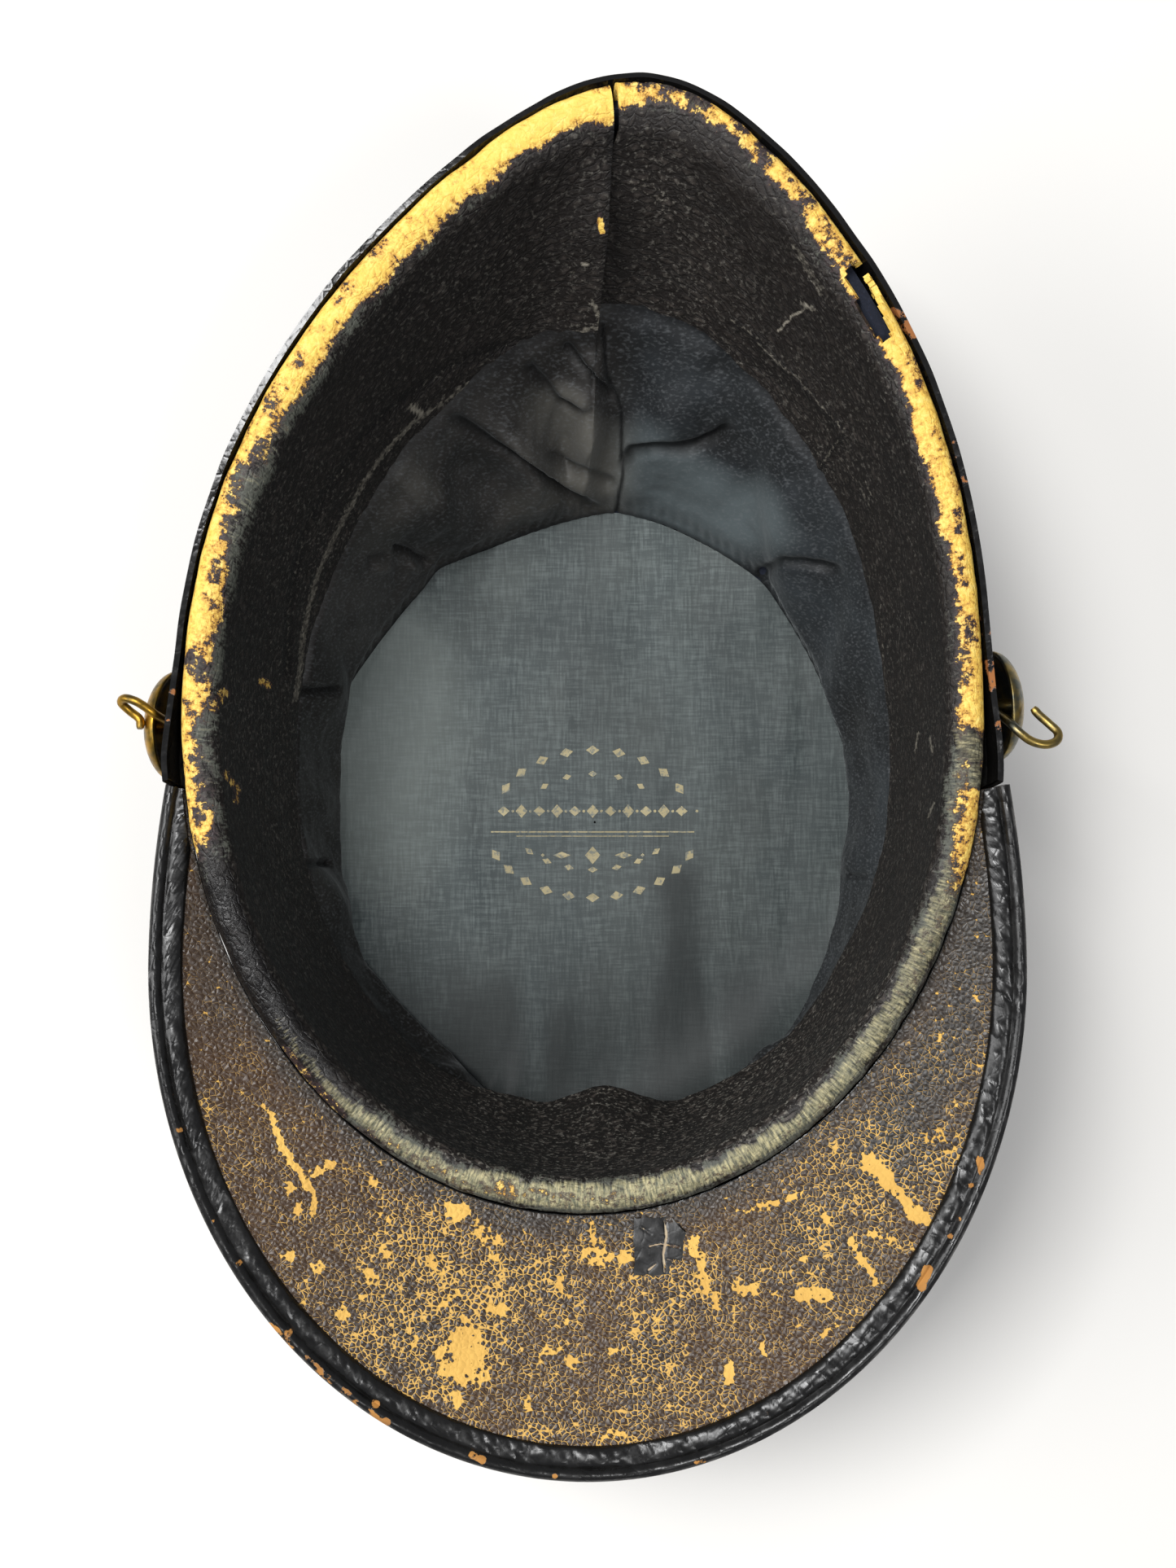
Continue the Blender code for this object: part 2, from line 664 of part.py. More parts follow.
def solder_hook(boss, side, y, table):
    """Joins a wire hook to a boss: a stem from the post, past the boss's edge, and an open curl outside it."""
    middle, out, along, up = boss_frame(side, y)
    curve = bpy.data.curves.new(boss.name + "_hook_path", "CURVE")
    curve.dimensions = "3D"
    curve.bevel_depth = WIRE_RADIUS
    curve.bevel_resolution = WIRE_ROUNDING
    curve.use_fill_caps = True
    local = through([Vector(row) * MM for row in table], HOOK_STEPS_PER_SPAN)
    spline = curve.splines.new("POLY")
    spline.points.add(len(local) - 1)
    for point, (away, back, rise) in zip(spline.points, local):
        point.co = (*(middle + out * away + along * back + up * rise), 1.0)
    path = bpy.data.objects.new(curve.name, curve)
    bm = bmesh.new()
    bm.from_mesh(bpy.data.meshes.new_from_object(path))
    bpy.data.objects.remove(path)
    bmesh.ops.remove_doubles(bm, verts=bm.verts, dist=WELD_DISTANCE)
    wire = finish_mesh(boss.name + "_wire", bm, boss.data.materials[0])
    wire.hide_render = True
    wire.display_type = "WIRE"
    union = boss.modifiers.new("solder", "BOOLEAN")
    union.operation = "UNION"
    union.object = wire


def main():
    clear_scene()
    navy = make_material("navy_wool", (0.018, 0.022, 0.040), 0.9)
    patent = make_material("black_patent_leather", (0.010, 0.009, 0.009), 0.22)
    sweat = make_material("worn_sweat_leather", (0.022, 0.018, 0.015), 0.6)
    underlay = make_material("brown_grained_leather", (0.075, 0.045, 0.028), 0.55)
    satin = make_material("black_satin", (0.020, 0.021, 0.024), 0.45)
    cotton = make_material("slate_cotton", (0.085, 0.105, 0.115), 0.75)
    brass = make_material("aged_brass", (0.42, 0.27, 0.07), 0.35, metallic=1.0)

    build_crown_top(navy)
    build_crown_welt(navy)
    build_cap_body(navy)
    build_base_band(patent)
    build_sweatband(sweat)
    build_lining_side(satin)
    build_lining_tip(cotton)

    edge_room = BINDING_THICKNESS + UNDERLAY_GAP
    visor_sheet("visor", patent, BOARD_TOP, BOARD_BOTTOM, edge_room)
    visor_sheet("visor_lining", underlay, 0.0, UNDERLAY_THICKNESS, edge_room)
    build_visor_binding(patent)
    build_size_patch(patent)

    for name, side, y, table in (
        ("left_boss", -1, LEFT_BOSS_Y, LEFT_HOOK_TABLE),
        ("right_boss", 1, RIGHT_BOSS_Y, RIGHT_HOOK_TABLE),
    ):
        solder_hook(build_boss(name, side, y, brass), side, y, table)


main()
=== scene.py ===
"""The looks of an old military cap that lies on its crown, seen from above into its opening.

Lengths are in millimetres up to the point where a mesh is made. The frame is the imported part's: +Z up, the
crown's outer face at z = 0, -Y the wearer's front and +Y the back. Angles run anticlockwise from +X.
"""

import math

import bpy
import numpy as np
from mathutils import Matrix, Vector
from mathutils.bvhtree import BVHTree


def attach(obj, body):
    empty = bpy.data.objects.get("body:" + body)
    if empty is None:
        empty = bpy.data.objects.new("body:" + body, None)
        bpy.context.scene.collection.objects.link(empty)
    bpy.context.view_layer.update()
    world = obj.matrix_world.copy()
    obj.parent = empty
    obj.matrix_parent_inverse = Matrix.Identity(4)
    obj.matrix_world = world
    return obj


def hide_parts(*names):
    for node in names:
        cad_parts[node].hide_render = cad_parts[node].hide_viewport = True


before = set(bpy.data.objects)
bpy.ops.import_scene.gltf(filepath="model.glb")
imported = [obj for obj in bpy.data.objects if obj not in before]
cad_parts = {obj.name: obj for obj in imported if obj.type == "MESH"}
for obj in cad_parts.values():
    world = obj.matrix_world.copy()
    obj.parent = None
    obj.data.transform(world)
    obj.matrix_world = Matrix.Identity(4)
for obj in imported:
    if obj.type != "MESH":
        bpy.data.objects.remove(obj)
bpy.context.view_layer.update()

MM = 0.001
TURN = 2 * math.pi
MM_PER_DEGREE = 1.3  # the length of a degree round the side, about half way down

# Camera: straight above the opening
CAMERA_PLACE = (-1.6, 9.0, 426.0)
CAMERA_LENS = 40.93
SENSOR = 36.0

# Opening and crown, as in the part
OPENING_HALF_WIDTH = 78.6
OPENING_FRONT_LENGTH = 94.2
OPENING_BACK_LENGTH = 123.1
OPENING_MIDDLE = (-2.7, 17.1)
BACK_PINCH = 0.27
BACK_PINCH_POWER = 3.3
BACK_LEAN = 10.0
RIM_HEIGHT_FRONT = 76.0
RIM_HEIGHT_BACK = 100.0
CROWN_HALF_WIDTH = 63.5
CROWN_HALF_LENGTH = 75.0
CROWN_THICKNESS = 2.6
CROWN_SEAM_HEIGHT = 3.7
WELT_RADIUS = 1.6
WELT_HEIGHT = 1.75
RIM_SLOPE = (RIM_HEIGHT_BACK - RIM_HEIGHT_FRONT) / (OPENING_FRONT_LENGTH + OPENING_BACK_LENGTH)

# Layers of the wall
FIT_GAP = 0.3
BODY_THICKNESS = 2.2
BULGE = 2.5
BAND_THICKNESS = 1.1
BAND_DEPTH = 24.0
LEATHER_THICKNESS = 1.2
ROLL_OUTER = 1.5
ROLL_INNER = -5.8
ROLL_DEPTH = 3.6
ROLL_LEG_DEPTH = 6.0
ROLL_LEAN = 1.0
ROLL_STEPS = 17
HOLE_EDGE = 0.62
BODY_EDGE_DEPTH = 3.3
SATIN_TOP_DEPTH = 28.0
SATIN_OUT = -BODY_THICKNESS - 2 * FIT_GAP
COTTON_THICKNESS = 0.6
COTTON_LIFT = 0.8
COTTON_CLIMB = 14
FLARE_DEPTH = 7.6
VISOR_CLEARANCE = 1.2
EDGE_BUILDUP = ROLL_OUTER + FIT_GAP + BAND_THICKNESS
SPLIT_ANGLE = math.radians(94)
SPLIT_GAP = math.radians(1.2)
FLAP_LIFT = 4.2
LAP_ANGLE = math.radians(3.5)
FLAP_TURN = math.radians(12)
SWEATBAND_TABLE = (
    # (turn in degrees, drop in mm, stand-off in mm)
    (0, 40, 0.5),
    (45, 41, 0.5),
    (90, 48, 0.3),
    (135, 50, 2.0),
    (163, 50, 5.0),
    (181, 50, 12.5),
    (199, 50, 7.0),
    (225, 50, 3.0),
    (270, 50, 0.8),
    (300, 49, 0.3),
    (330, 44, 0.3),
    (346, 42, 0.3),
    (360, 41, 1.6),
)

# Folds of the satin side lining
FOLD_TABLE = (
    # (angle at the top, angle at the crown, height in mm, half-width in degrees)
    (70, 84, 4.5, 9),
    (96, 92, 6.0, 6),
    (118, 100, 6.5, 9),
    (140, 116, 5.0, 9),
    (48, 40, 5.0, 13),
    (24, 22, 2.4, 8),
    (352, 350, 2.2, 9),
    (312, 306, 3.0, 10),
    (240, 236, 3.2, 10),
    (196, 198, 2.4, 8),
    (164, 160, 2.6, 8),
)

# Visor
VISOR_HALF_WIDTH = 84.9
VISOR_FRONT_LENGTH = 98.8
VISOR_BACK_LENGTH = 133.0
VISOR_MIDDLE = (-1.7, -26.9)
VISOR_END_ANGLE = math.radians(-5)
VISOR_OUTER_END_ANGLE = math.radians(15.65)
VISOR_DROP_FRONT = 3.6
VISOR_DROP_SIDE = 5.4
VISOR_RISE = 0.2
VISOR_THICKNESS = 1.6
UNDERLAY_THICKNESS = 0.7
UNDERLAY_GAP = 0.25
BINDING_THICKNESS = 0.7
BINDING_SKIN = 0.45
VISOR_LEAST_ROOM = 0.4
BOARD_TOP = UNDERLAY_THICKNESS + UNDERLAY_GAP
BOARD_BOTTOM = BOARD_TOP + VISOR_THICKNESS
VISOR_BUILDUP = BOARD_BOTTOM + UNDERLAY_GAP + BINDING_THICKNESS
EDGE_ROOM = BINDING_THICKNESS + UNDERLAY_GAP
PATCH_MIDDLE = (12.6, -82.2)
PATCH_HALF_SIDES = (5.2, 5.4)
PATCH_THICKNESS = 0.3
PATCH_LIFT = 0.95

# Where marks, folds and seams show in the photograph, in its pixels. A row is one stroke:
# the points along it, its half-width and its strength.
PHOTO_SIZE = (1445, 1926)
FOCAL_PX = CAMERA_LENS / SENSOR * PHOTO_SIZE[1]
RUBBED_PLACES = (
    ([(568, 1650), (568, 1682)], 24, 1),
    ([(541, 1662)], 8, 0.9),
    ([(560, 1710), (560, 1726)], 5, 0.8),
    ([(585, 1640), (590, 1690)], 12, 0.7),
    ([(334, 1369), (347, 1411), (373, 1447), (386, 1470), (385, 1492)], 4.5, 0.95),
    ([(389, 1441), (409, 1428)], 6, 0.9),
    ([(356, 1460)], 8, 0.8),
    ([(366, 1480)], 8, 0.75),
    ([(461, 1448)], 7, 0.75),
    ([(473, 1538)], 8, 0.85),
    ([(455, 1567)], 9, 0.95),
    ([(423, 1613)], 10, 0.85),
    ([(391, 1557)], 8, 0.8),
    ([(356, 1544)], 7, 0.7),
    ([(446, 1592)], 5, 0.7),
    ([(467, 1592)], 5, 0.7),
    ([(555, 1488), (570, 1488)], 9, 0.95),
    ([(585, 1512), (615, 1522)], 14, 0.55),
    ([(608, 1543)], 8, 0.7),
    ([(613, 1612)], 11, 0.8),
    ([(545, 1600), (562, 1588)], 6, 0.8),
    ([(570, 1621)], 7, 0.9),
    ([(728, 1505), (731, 1525)], 4, 0.8),
    ([(733, 1538)], 14, 0.9),
    ([(745, 1550)], 9, 0.75),
    ([(767, 1543)], 9, 0.8),
    ([(689, 1568), (689, 1584)], 4.5, 0.85),
    ([(699, 1593)], 4.5, 0.8),
    ([(694, 1623)], 5, 0.7),
    ([(665, 1664), (690, 1655)], 6, 0.6),
    ([(702, 1674)], 9, 0.75),
    ([(752, 1659)], 7, 0.7),
    ([(852, 1524), (853, 1540)], 8, 0.9),
    ([(856, 1541), (866, 1574), (883, 1606)], 6, 0.9),
    ([(896, 1676), (896, 1697)], 5.5, 0.95),
    ([(651, 1725)], 9, 0.75),
    ([(624, 1767)], 6, 0.8),
    ([(745, 1763)], 7, 0.75),
    ([(765, 1761)], 6, 0.75),
    ([(1067, 1426), (1085, 1446)], 11, 1),
    ([(1085, 1446), (1106, 1468)], 7, 1),
    ([(1106, 1468), (1120, 1487)], 5.5, 1),
    ([(1118, 1485), (1130, 1495)], 9, 1),
    ([(1130, 1495), (1143, 1504)], 6, 0.95),
    ([(980, 1590), (1016, 1590)], 9, 1),
    ([(905, 1582), (924, 1584)], 8, 0.9),
    ([(945, 1588), (958, 1588)], 4, 0.8),
    ([(1012, 1496)], 8, 0.75),
    ([(916, 1492), (950, 1478), (986, 1468)], 4.5, 0.62),
    ([(1140, 1398), (1165, 1405)], 10, 0.6),
    ([(1125, 1455)], 6, 0.75),
    ([(1069, 1515), (1097, 1523)], 4.5, 0.8),
    ([(1045, 1525), (1060, 1548), (1080, 1580)], 5, 0.8),
    ([(986, 1543)], 9, 0.6),
    ([(937, 1654), (938, 1664)], 4.5, 0.8),
    ([(900, 1687)], 6, 0.8),
    ([(523, 1534), (540, 1560)], 6, 0.55),
    ([(500, 1660), (515, 1640)], 5, 0.55),
    ([(470, 1490), (480, 1500)], 5, 0.5),
    ([(1010, 1640), (1030, 1625)], 5, 0.5),
)
CRACKLED_PLACES = (
    ([(600, 1650), (720, 1660)], 190, 1),
    ([(1040, 1500), (1100, 1440)], 120, 0.85),
    ([(680, 1760), (820, 1750)], 90, 0.8),
    ([(470, 1700), (520, 1740)], 90, 0.75),
    ([(880, 1560)], 110, 0.55),
    ([(380, 1560)], 120, 0.45),
    ([(300, 1380)], 160, 0.2),
    ([(560, 1540)], 120, 0.75),
)
UNDERSIDE_SHADE = (
    ([(1215, 1080), (1180, 1260), (1090, 1400)], 60, 0.75),
    ([(1225, 1150), (1190, 1400)], 40, 0.45),
    ([(1000, 1500), (1100, 1600)], 60, 0.3),
    ([(250, 1120), (280, 1230)], 40, 0.4),
    ([(470, 1660), (420, 1600)], 50, 0.2),
)
SATIN_VALLEYS = (
    ([(545, 505), (559, 515), (605, 545), (628, 558), (660, 580), (687, 598), (712, 614), (745, 630)], 6, 1),
    ([(665, 556), (715, 578), (761, 596)], 5, 0.55),
    ([(645, 445), (654, 456), (680, 480), (702, 498), (720, 512)], 6, 0.8),
    ([(690, 420), (698, 428), (720, 455), (740, 475), (756, 492)], 5, 0.8),
    ([(766, 590), (767, 572), (776, 558), (813, 550), (850, 546), (880, 536), (905, 515)], 6, 1),
    ([(450, 690), (480, 684)], 5, 0.5),
    ([(480, 672), (505, 680), (530, 697)], 4, 0.9),
    ([(915, 722), (938, 704), (961, 691), (990, 693), (1040, 703)], 6, 0.8),
    ([(365, 850), (423, 847)], 4, 0.9),
    ([(362, 1062), (410, 1060)], 4, 0.9),
    ([(1040, 1075), (1068, 1078)], 4, 0.6),
    ([(440, 1160), (492, 1207), (543, 1257), (578, 1303), (600, 1335)], 7, 0.8),
)
SATIN_RIDGES = (
    ([(583, 519), (630, 545), (672, 572), (715, 598), (752, 617)], 9, 0.9),
    ([(668, 470), (700, 480), (735, 505)], 11, 0.7),
    ([(715, 430), (735, 450), (750, 470)], 8, 0.5),
    ([(700, 530), (740, 550)], 24, 0.6),
    ([(790, 572), (850, 575), (930, 600)], 26, 0.8),
    ([(800, 520), (870, 500)], 24, 0.6),
    ([(500, 690), (520, 705)], 5, 0.6),
    ([(540, 580), (500, 620)], 30, 0.6),
    ([(485, 690), (455, 700)], 7, 0.5),
    ([(395, 960), (392, 1020)], 14, 0.5),
    ([(1050, 900), (1048, 980)], 10, 0.5),
    ([(860, 440), (930, 480)], 20, -0.5),
)
# painted light and shade on the satin: positive rows are painted sheen, negative rows painted shade
SATIN_LIGHT_AND_SHADE = (
    ([(480, 1190), (610, 1345)], 75, -0.9),
    ([(900, 1340), (1040, 1160)], 60, -0.5),
    ([(395, 860), (395, 1120)], 50, -0.6),
    ([(560, 540), (480, 640)], 60, -0.1),
    ([(690, 440), (740, 470)], 30, -0.45),
    ([(800, 600), (900, 635)], 48, 1.15),
    ([(930, 640), (980, 690)], 34, 0.45),
    ([(1000, 760), (1050, 900)], 45, -0.25),
    ([(1050, 900), (1060, 1080)], 45, -0.35),
    ([(930, 700), (1040, 690)], 24, -0.35),
    ([(690, 510), (735, 560)], 34, 0.75),
    ([(640, 620), (735, 612)], 26, 0.35),
    ([(500, 600), (470, 660)], 40, 0.2),
    ([(830, 510), (900, 560)], 26, -0.4),
    ([(800, 430), (920, 480)], 50, -0.35),
    ([(940, 520), (1010, 600)], 40, -0.3),
    ([(770, 540), (800, 530)], 22, 0.3),
)
# to the right of here the satin takes the bluer, lit copy of its colours, on the side the light falls on
SATIN_LIT_SIDE_FROM = (735, 800)
SATIN_SEAM = (
    ([(740, 400), (741, 410), (746, 461), (757, 485), (764, 506), (763, 558), (765, 587), (757, 630)], 2.2, 1),
)
DYE_FLECKS = (
    ([(235, 812), (246, 825)], 13, 0.8),
    ([(238, 880), (243, 905)], 9, 0.5),
    ([(236, 925), (242, 935)], 9, 0.7),
    ([(247, 950), (250, 985)], 10, 0.55),
    ([(244, 1000)], 9, 0.6),
    ([(268, 690), (262, 712)], 9, 0.6),
    ([(262, 745), (256, 730)], 8, 0.45),
    ([(282, 640), (276, 655)], 10, 0.6),
    ([(300, 580), (292, 610)], 13, 0.8),
    ([(318, 545), (308, 575)], 9, 0.5),
    ([(345, 470), (330, 500)], 9, 0.4),
    ([(372, 430), (365, 445)], 8, 0.5),
    ([(430, 352), (418, 365)], 10, 0.5),
    ([(470, 300), (455, 318)], 7, 0.4),
    ([(590, 180), (560, 205)], 6, 0.3),
    ([(690, 105), (740, 100)], 12, 0.7),
    ([(775, 98), (795, 100)], 10, 0.7),
    ([(822, 105), (838, 108)], 8, 0.6),
    ([(850, 118), (862, 124)], 11, 0.9),
    ([(940, 178), (946, 190)], 13, 0.95),
    ([(985, 235), (1000, 250)], 8, 0.7),
    ([(1030, 300), (1045, 320)], 7, 0.6),
    ([(1050, 330), (1060, 350)], 9, 0.8),
    ([(1178, 630), (1180, 650)], 7, 0.7),
    ([(1178, 680), (1182, 700)], 6, 0.7),
    ([(1184, 712), (1186, 720)], 6, 0.6),
    ([(1186, 800), (1190, 812)], 6, 0.5),
    ([(1190, 830)], 6, 0.7),
    ([(1197, 950), (1200, 960)], 8, 0.9),
    ([(1193, 905), (1200, 925)], 9, 0.7),
    ([(1120, 440), (1130, 470)], 8, 0.5),
    ([(228, 860), (232, 875)], 5, 0.5),
    ([(1170, 560), (1176, 600)], 7, 0.5),
    ([(1192, 760), (1194, 790)], 7, 0.5),
    ([(1150, 470), (1158, 505)], 7, 0.5),
    ([(800, 92), (812, 100)], 7, 0.6),
    ([(905, 150), (915, 160)], 8, 0.6),
    ([(968, 212), (975, 225)], 7, 0.6),
    ([(1012, 270), (1020, 290)], 8, 0.6),
)
TAN_MARKS = (
    ([(736, 268), (740, 285)], 4, 1),
    ([(322, 838), (330, 842)], 6, 0.7),
    ([(277, 950), (292, 970), (290, 985)], 5, 0.62),
    ([(262, 870), (275, 850)], 8, 0.6),
    ([(1195, 1010), (1180, 1080)], 9, 0.7),
    ([(1196, 975), (1195, 1000)], 10, 0.8),
    ([(1160, 1115), (1140, 1150)], 8, 0.4),
    ([(640, 1462), (700, 1470)], 7, 0.45),
    ([(350, 1290), (420, 1370)], 7, 0.5),
    ([(440, 1385), (560, 1440)], 7, 0.35),
)
LEATHER_SCUFFS = (
    ([(738, 400), (693, 413), (657, 428), (627, 443), (593, 462), (547, 492), (510, 518), (480, 547), (453, 583),
      (430, 623), (407, 667), (390, 707), (380, 743), (373, 777), (368, 827), (363, 860)], 4.5, 0.58),
    ([(640, 418), (633, 422), (593, 435), (557, 448), (520, 473), (480, 503), (450, 533), (420, 577), (390, 623),
      (377, 647), (363, 703), (355, 750), (353, 827)], 3, 0.42),
    ([(612, 447), (580, 458), (540, 480), (505, 505), (470, 540), (440, 580), (415, 625), (395, 665), (378, 705),
      (368, 750)], 10, 0.28),
    ([(505, 500), (518, 508)], 3.5, 0.9),
    ([(898, 392), (925, 412), (950, 440), (985, 470), (1000, 490), (1020, 510), (1038, 530), (1020, 555),
      (1008, 572)], 2.6, 0.55),
    ([(1030, 560), (1052, 590), (1070, 625)], 2, 0.5),
    ([(785, 225), (815, 250)], 18, 0.4),
    ([(860, 290), (900, 310)], 16, 0.3),
    ([(955, 408), (972, 390), (992, 376)], 2, 0.95),
    ([(985, 372), (1000, 381)], 4, 0.65),
    ([(975, 300), (1010, 360)], 6, 0.5),
    ([(1128, 900), (1124, 925)], 1.8, 0.7),
    ([(1142, 905), (1146, 925)], 1.8, 0.7),
    ([(1148, 985), (1140, 1005)], 1.8, 0.7),
    ([(1062, 590), (1072, 610)], 2, 0.5),
    ([(1080, 705), (1088, 860)], 1.6, 0.45),
    ([(1085, 950), (1080, 975)], 1.6, 0.8),
    ([(728, 1340), (762, 1341)], 5, 0.45),
    ([(600, 1390), (760, 1400)], 26, 0.22),
    ([(820, 1380), (980, 1320)], 24, 0.3),
    ([(296, 1230), (310, 1270)], 8, 0.35),
    ([(330, 790), (345, 830)], 8, 0.35),
    ([(315, 900), (318, 960)], 8, 0.3),
    ([(1120, 620), (1150, 800)], 14, 0.3),
    ([(728, 372), (738, 392)], 4, 0.7),
    ([(714, 322), (722, 326)], 2.5, 0.9),
    ([(700, 330), (705, 335)], 2.5, 0.6),
    ([(905, 170), (960, 260)], 14, 0.3),
    ([(1060, 430), (1120, 560)], 10, 0.3),
)
LEATHER_CREASES = (
    ([(640, 418), (593, 435), (557, 448), (520, 473), (480, 503), (450, 533), (420, 577), (390, 623), (377, 647),
      (363, 703), (355, 750), (353, 827)], 5, 1),
    ([(898, 392), (925, 412), (950, 440), (985, 470), (1000, 490), (1020, 510), (1038, 530), (1020, 555),
      (1008, 572)], 5, -1),
    ([(825, 395), (870, 412), (920, 440), (965, 478)], 5, 0.6),
    ([(1030, 400), (1075, 480), (1110, 560)], 6, 0.4),
)
FLAP_SHADOW = (
    ([(762, 118), (759, 250), (755, 330), (750, 402)], 12, 1),
)
LEATHER_HOLES = (
    ([(1057, 338), (1066, 358), (1077, 385), (1087, 405)], 15, 1),
    ([(1051, 328)], 5, 0.9),
)
# darker rows are partly real stains and streaks and partly painted shade along the front and in the corners under the
# sweatband; negative rows make the cloth paler at the left
COTTON_STAINS_AND_SHADE = (
    ([(1010, 740), (1030, 1150)], 110, 0.35),
    ([(560, 1320), (900, 1320)], 120, 0.75),
    ([(470, 1230), (560, 1330)], 60, 0.3),
    ([(950, 1240), (1000, 1170)], 45, 0.25),
    ([(730, 1180), (730, 1300)], 200, 0.15),
    ([(760, 800), (800, 1050)], 130, 0.16),
    ([(730, 640), (730, 880)], 34, 0.3),
    ([(836, 1090), (840, 1340)], 26, 0.75),
    ([(612, 1220), (606, 1350)], 24, 0.5),
    ([(690, 1250), (684, 1350)], 16, 0.25),
    ([(900, 1220), (930, 1320)], 30, 0.3),
    ([(800, 880), (822, 1080)], 30, 0.3),
    ([(675, 745), (662, 775)], 22, 0.3),
    ([(880, 760), (920, 1000)], 22, 0.2),
    ([(560, 1190), (590, 1330)], 18, 0.25),
    ([(430, 930), (480, 800)], 55, -0.5),
    ([(480, 1020), (500, 880)], 70, -0.35),
    ([(766, 1190), (768, 1340)], 9, -0.25),
    ([(655, 1180), (660, 1330)], 9, -0.2),
    ([(872, 1180), (884, 1320)], 9, -0.25),
    ([(640, 720), (800, 700)], 34, -0.15),
)
BAND_CHIPS = (
    ([(345, 395), (322, 440), (300, 480)], 8, 1),
    ([(270, 560), (255, 600)], 4, 0.5),
    ([(240, 650), (228, 720)], 3, 0.45),
    ([(216, 780), (205, 884)], 3, 0.4),
    ([(209, 850)], 4, 0.9),
    ([(205, 884)], 4, 0.9),
    ([(203, 935)], 4, 0.9),
    ([(196, 965), (196, 985)], 4, 0.9),
    ([(1099, 378), (1122, 409)], 9, 1),
    ([(1140, 470), (1160, 540), (1180, 620), (1200, 700), (1215, 780)], 5, 0.7),
    ([(1222, 815), (1232, 850), (1238, 900)], 8, 1),
    ([(1246, 930), (1252, 1100)], 3, 0.5),
    ([(500, 232), (430, 300)], 3, 0.4),
    ([(1180, 540), (1190, 600)], 6, 0.7),
    ([(985, 195), (1020, 250)], 3, 0.4),
)
BINDING_CHIPS = (
    ([(220, 1387)], 6, 1),
    ([(293, 1552)], 6, 0.9),
    ([(333, 1629), (400, 1690), (474, 1750)], 6, 0.8),
    ([(354, 1638)], 8, 0.9),
    ([(461, 1723)], 8, 0.9),
    ([(473, 1748)], 8, 1),
    ([(440, 1735)], 6, 0.9),
    ([(580, 1788), (592, 1793)], 6, 1),
    ([(682, 1813)], 5, 0.9),
    ([(855, 1796), (865, 1794)], 4, 0.9),
    ([(1204, 1424), (1206, 1440)], 6, 1),
    ([(1193, 1456)], 5, 0.9),
    ([(1178, 1498)], 5, 0.9),
    ([(1168, 1519)], 5, 0.9),
    ([(1140, 1560), (1132, 1580)], 8, 1),
    ([(1105, 1624)], 5, 0.8),
    ([(668, 1776), (674, 1780)], 4, 0.8),
    ([(203, 1290)], 4, 0.6),
    ([(212, 1345)], 3, 0.7),
    ([(944, 1735), (955, 1745)], 4, 0.6),
    ([(1085, 1640)], 3, 0.7),
    ([(262, 1500)], 3, 0.7),
    ([(1250, 1000), (1256, 1100)], 5, 0.5),
    ([(1236, 1000), (1240, 1060)], 4, 0.45),
)
PATCH_CRACKS = (
    ([(817, 1500), (819, 1520), (815, 1540), (817, 1562)], 1.8, 1),
    ([(798, 1531), (812, 1528), (834, 1532)], 1.3, 0.9),
    ([(820, 1547), (838, 1551)], 1.3, 0.8),
    ([(788, 1508), (800, 1516)], 1.5, 0.7),
    ([(797, 1560), (806, 1553)], 1.5, 0.8),
)
COTTON_MIDDLE = (730.0, 1010.0)
COTTON_OUTLINE = (
    # the seam between the satin and the crown's cotton, anticlockwise from the back
    (755, 629), (700, 640), (640, 660), (600, 675), (560, 690), (538, 699), (522, 722), (500, 747), (480, 772),
    (455, 805), (426, 849), (421, 900), (419, 950), (418, 1000), (419, 1060), (424, 1110), (429, 1150), (455, 1190),
    (495, 1236), (540, 1282), (580, 1330), (620, 1368), (700, 1385), (780, 1386), (860, 1368), (930, 1320),
    (975, 1270), (1000, 1219), (1012, 1190), (1021, 1160), (1034, 1115), (1041, 1070), (1045, 1010), (1043, 965),
    (1037, 920), (1022, 875), (1005, 830), (985, 790), (962, 752), (940, 719), (922, 704), (900, 689), (860, 666),
    (800, 640),
)


def plan(x, y):
    """Points in plan from their two coordinates."""
    return np.stack(np.broadcast_arrays(x, y), -1)


def opening_xy(angle):
    """The opening's outer edge from above."""
    across, along = np.cos(angle), np.sin(angle)
    back = np.maximum(along, 0.0)
    x = OPENING_HALF_WIDTH * across * (1 - BACK_PINCH * back**BACK_PINCH_POWER) + BACK_LEAN * back**2
    y = np.where(along < 0, OPENING_FRONT_LENGTH, OPENING_BACK_LENGTH) * along
    return plan(OPENING_MIDDLE[0] + x, OPENING_MIDDLE[1] + y)


def crown_xy(angle):
    """The body's outer edge at the crown, an oval."""
    return plan(CROWN_HALF_WIDTH * np.cos(angle), CROWN_HALF_LENGTH * np.sin(angle))


def visor_edge_xy(angle):
    """The visor's outer outline."""
    length = np.where(np.sin(angle) < 0, VISOR_FRONT_LENGTH, VISOR_BACK_LENGTH)
    return plan(VISOR_MIDDLE[0] + VISOR_HALF_WIDTH * np.cos(angle), VISOR_MIDDLE[1] + length * np.sin(angle))


def unit(v):
    """Vectors of length one."""
    return v / np.maximum(np.linalg.norm(v, axis=-1, keepdims=True), 1e-12)


def outward(outline, angle):
    """The direction out of an outline at those angles."""
    along = outline(angle + 1e-3) - outline(angle - 1e-3)
    return unit(plan(along[..., 1], -along[..., 0]))


def rim_height(y):
    """The height of the opening's plane, which climbs towards the back."""
    return RIM_HEIGHT_FRONT + RIM_SLOPE * (y - OPENING_MIDDLE[1] + OPENING_FRONT_LENGTH)


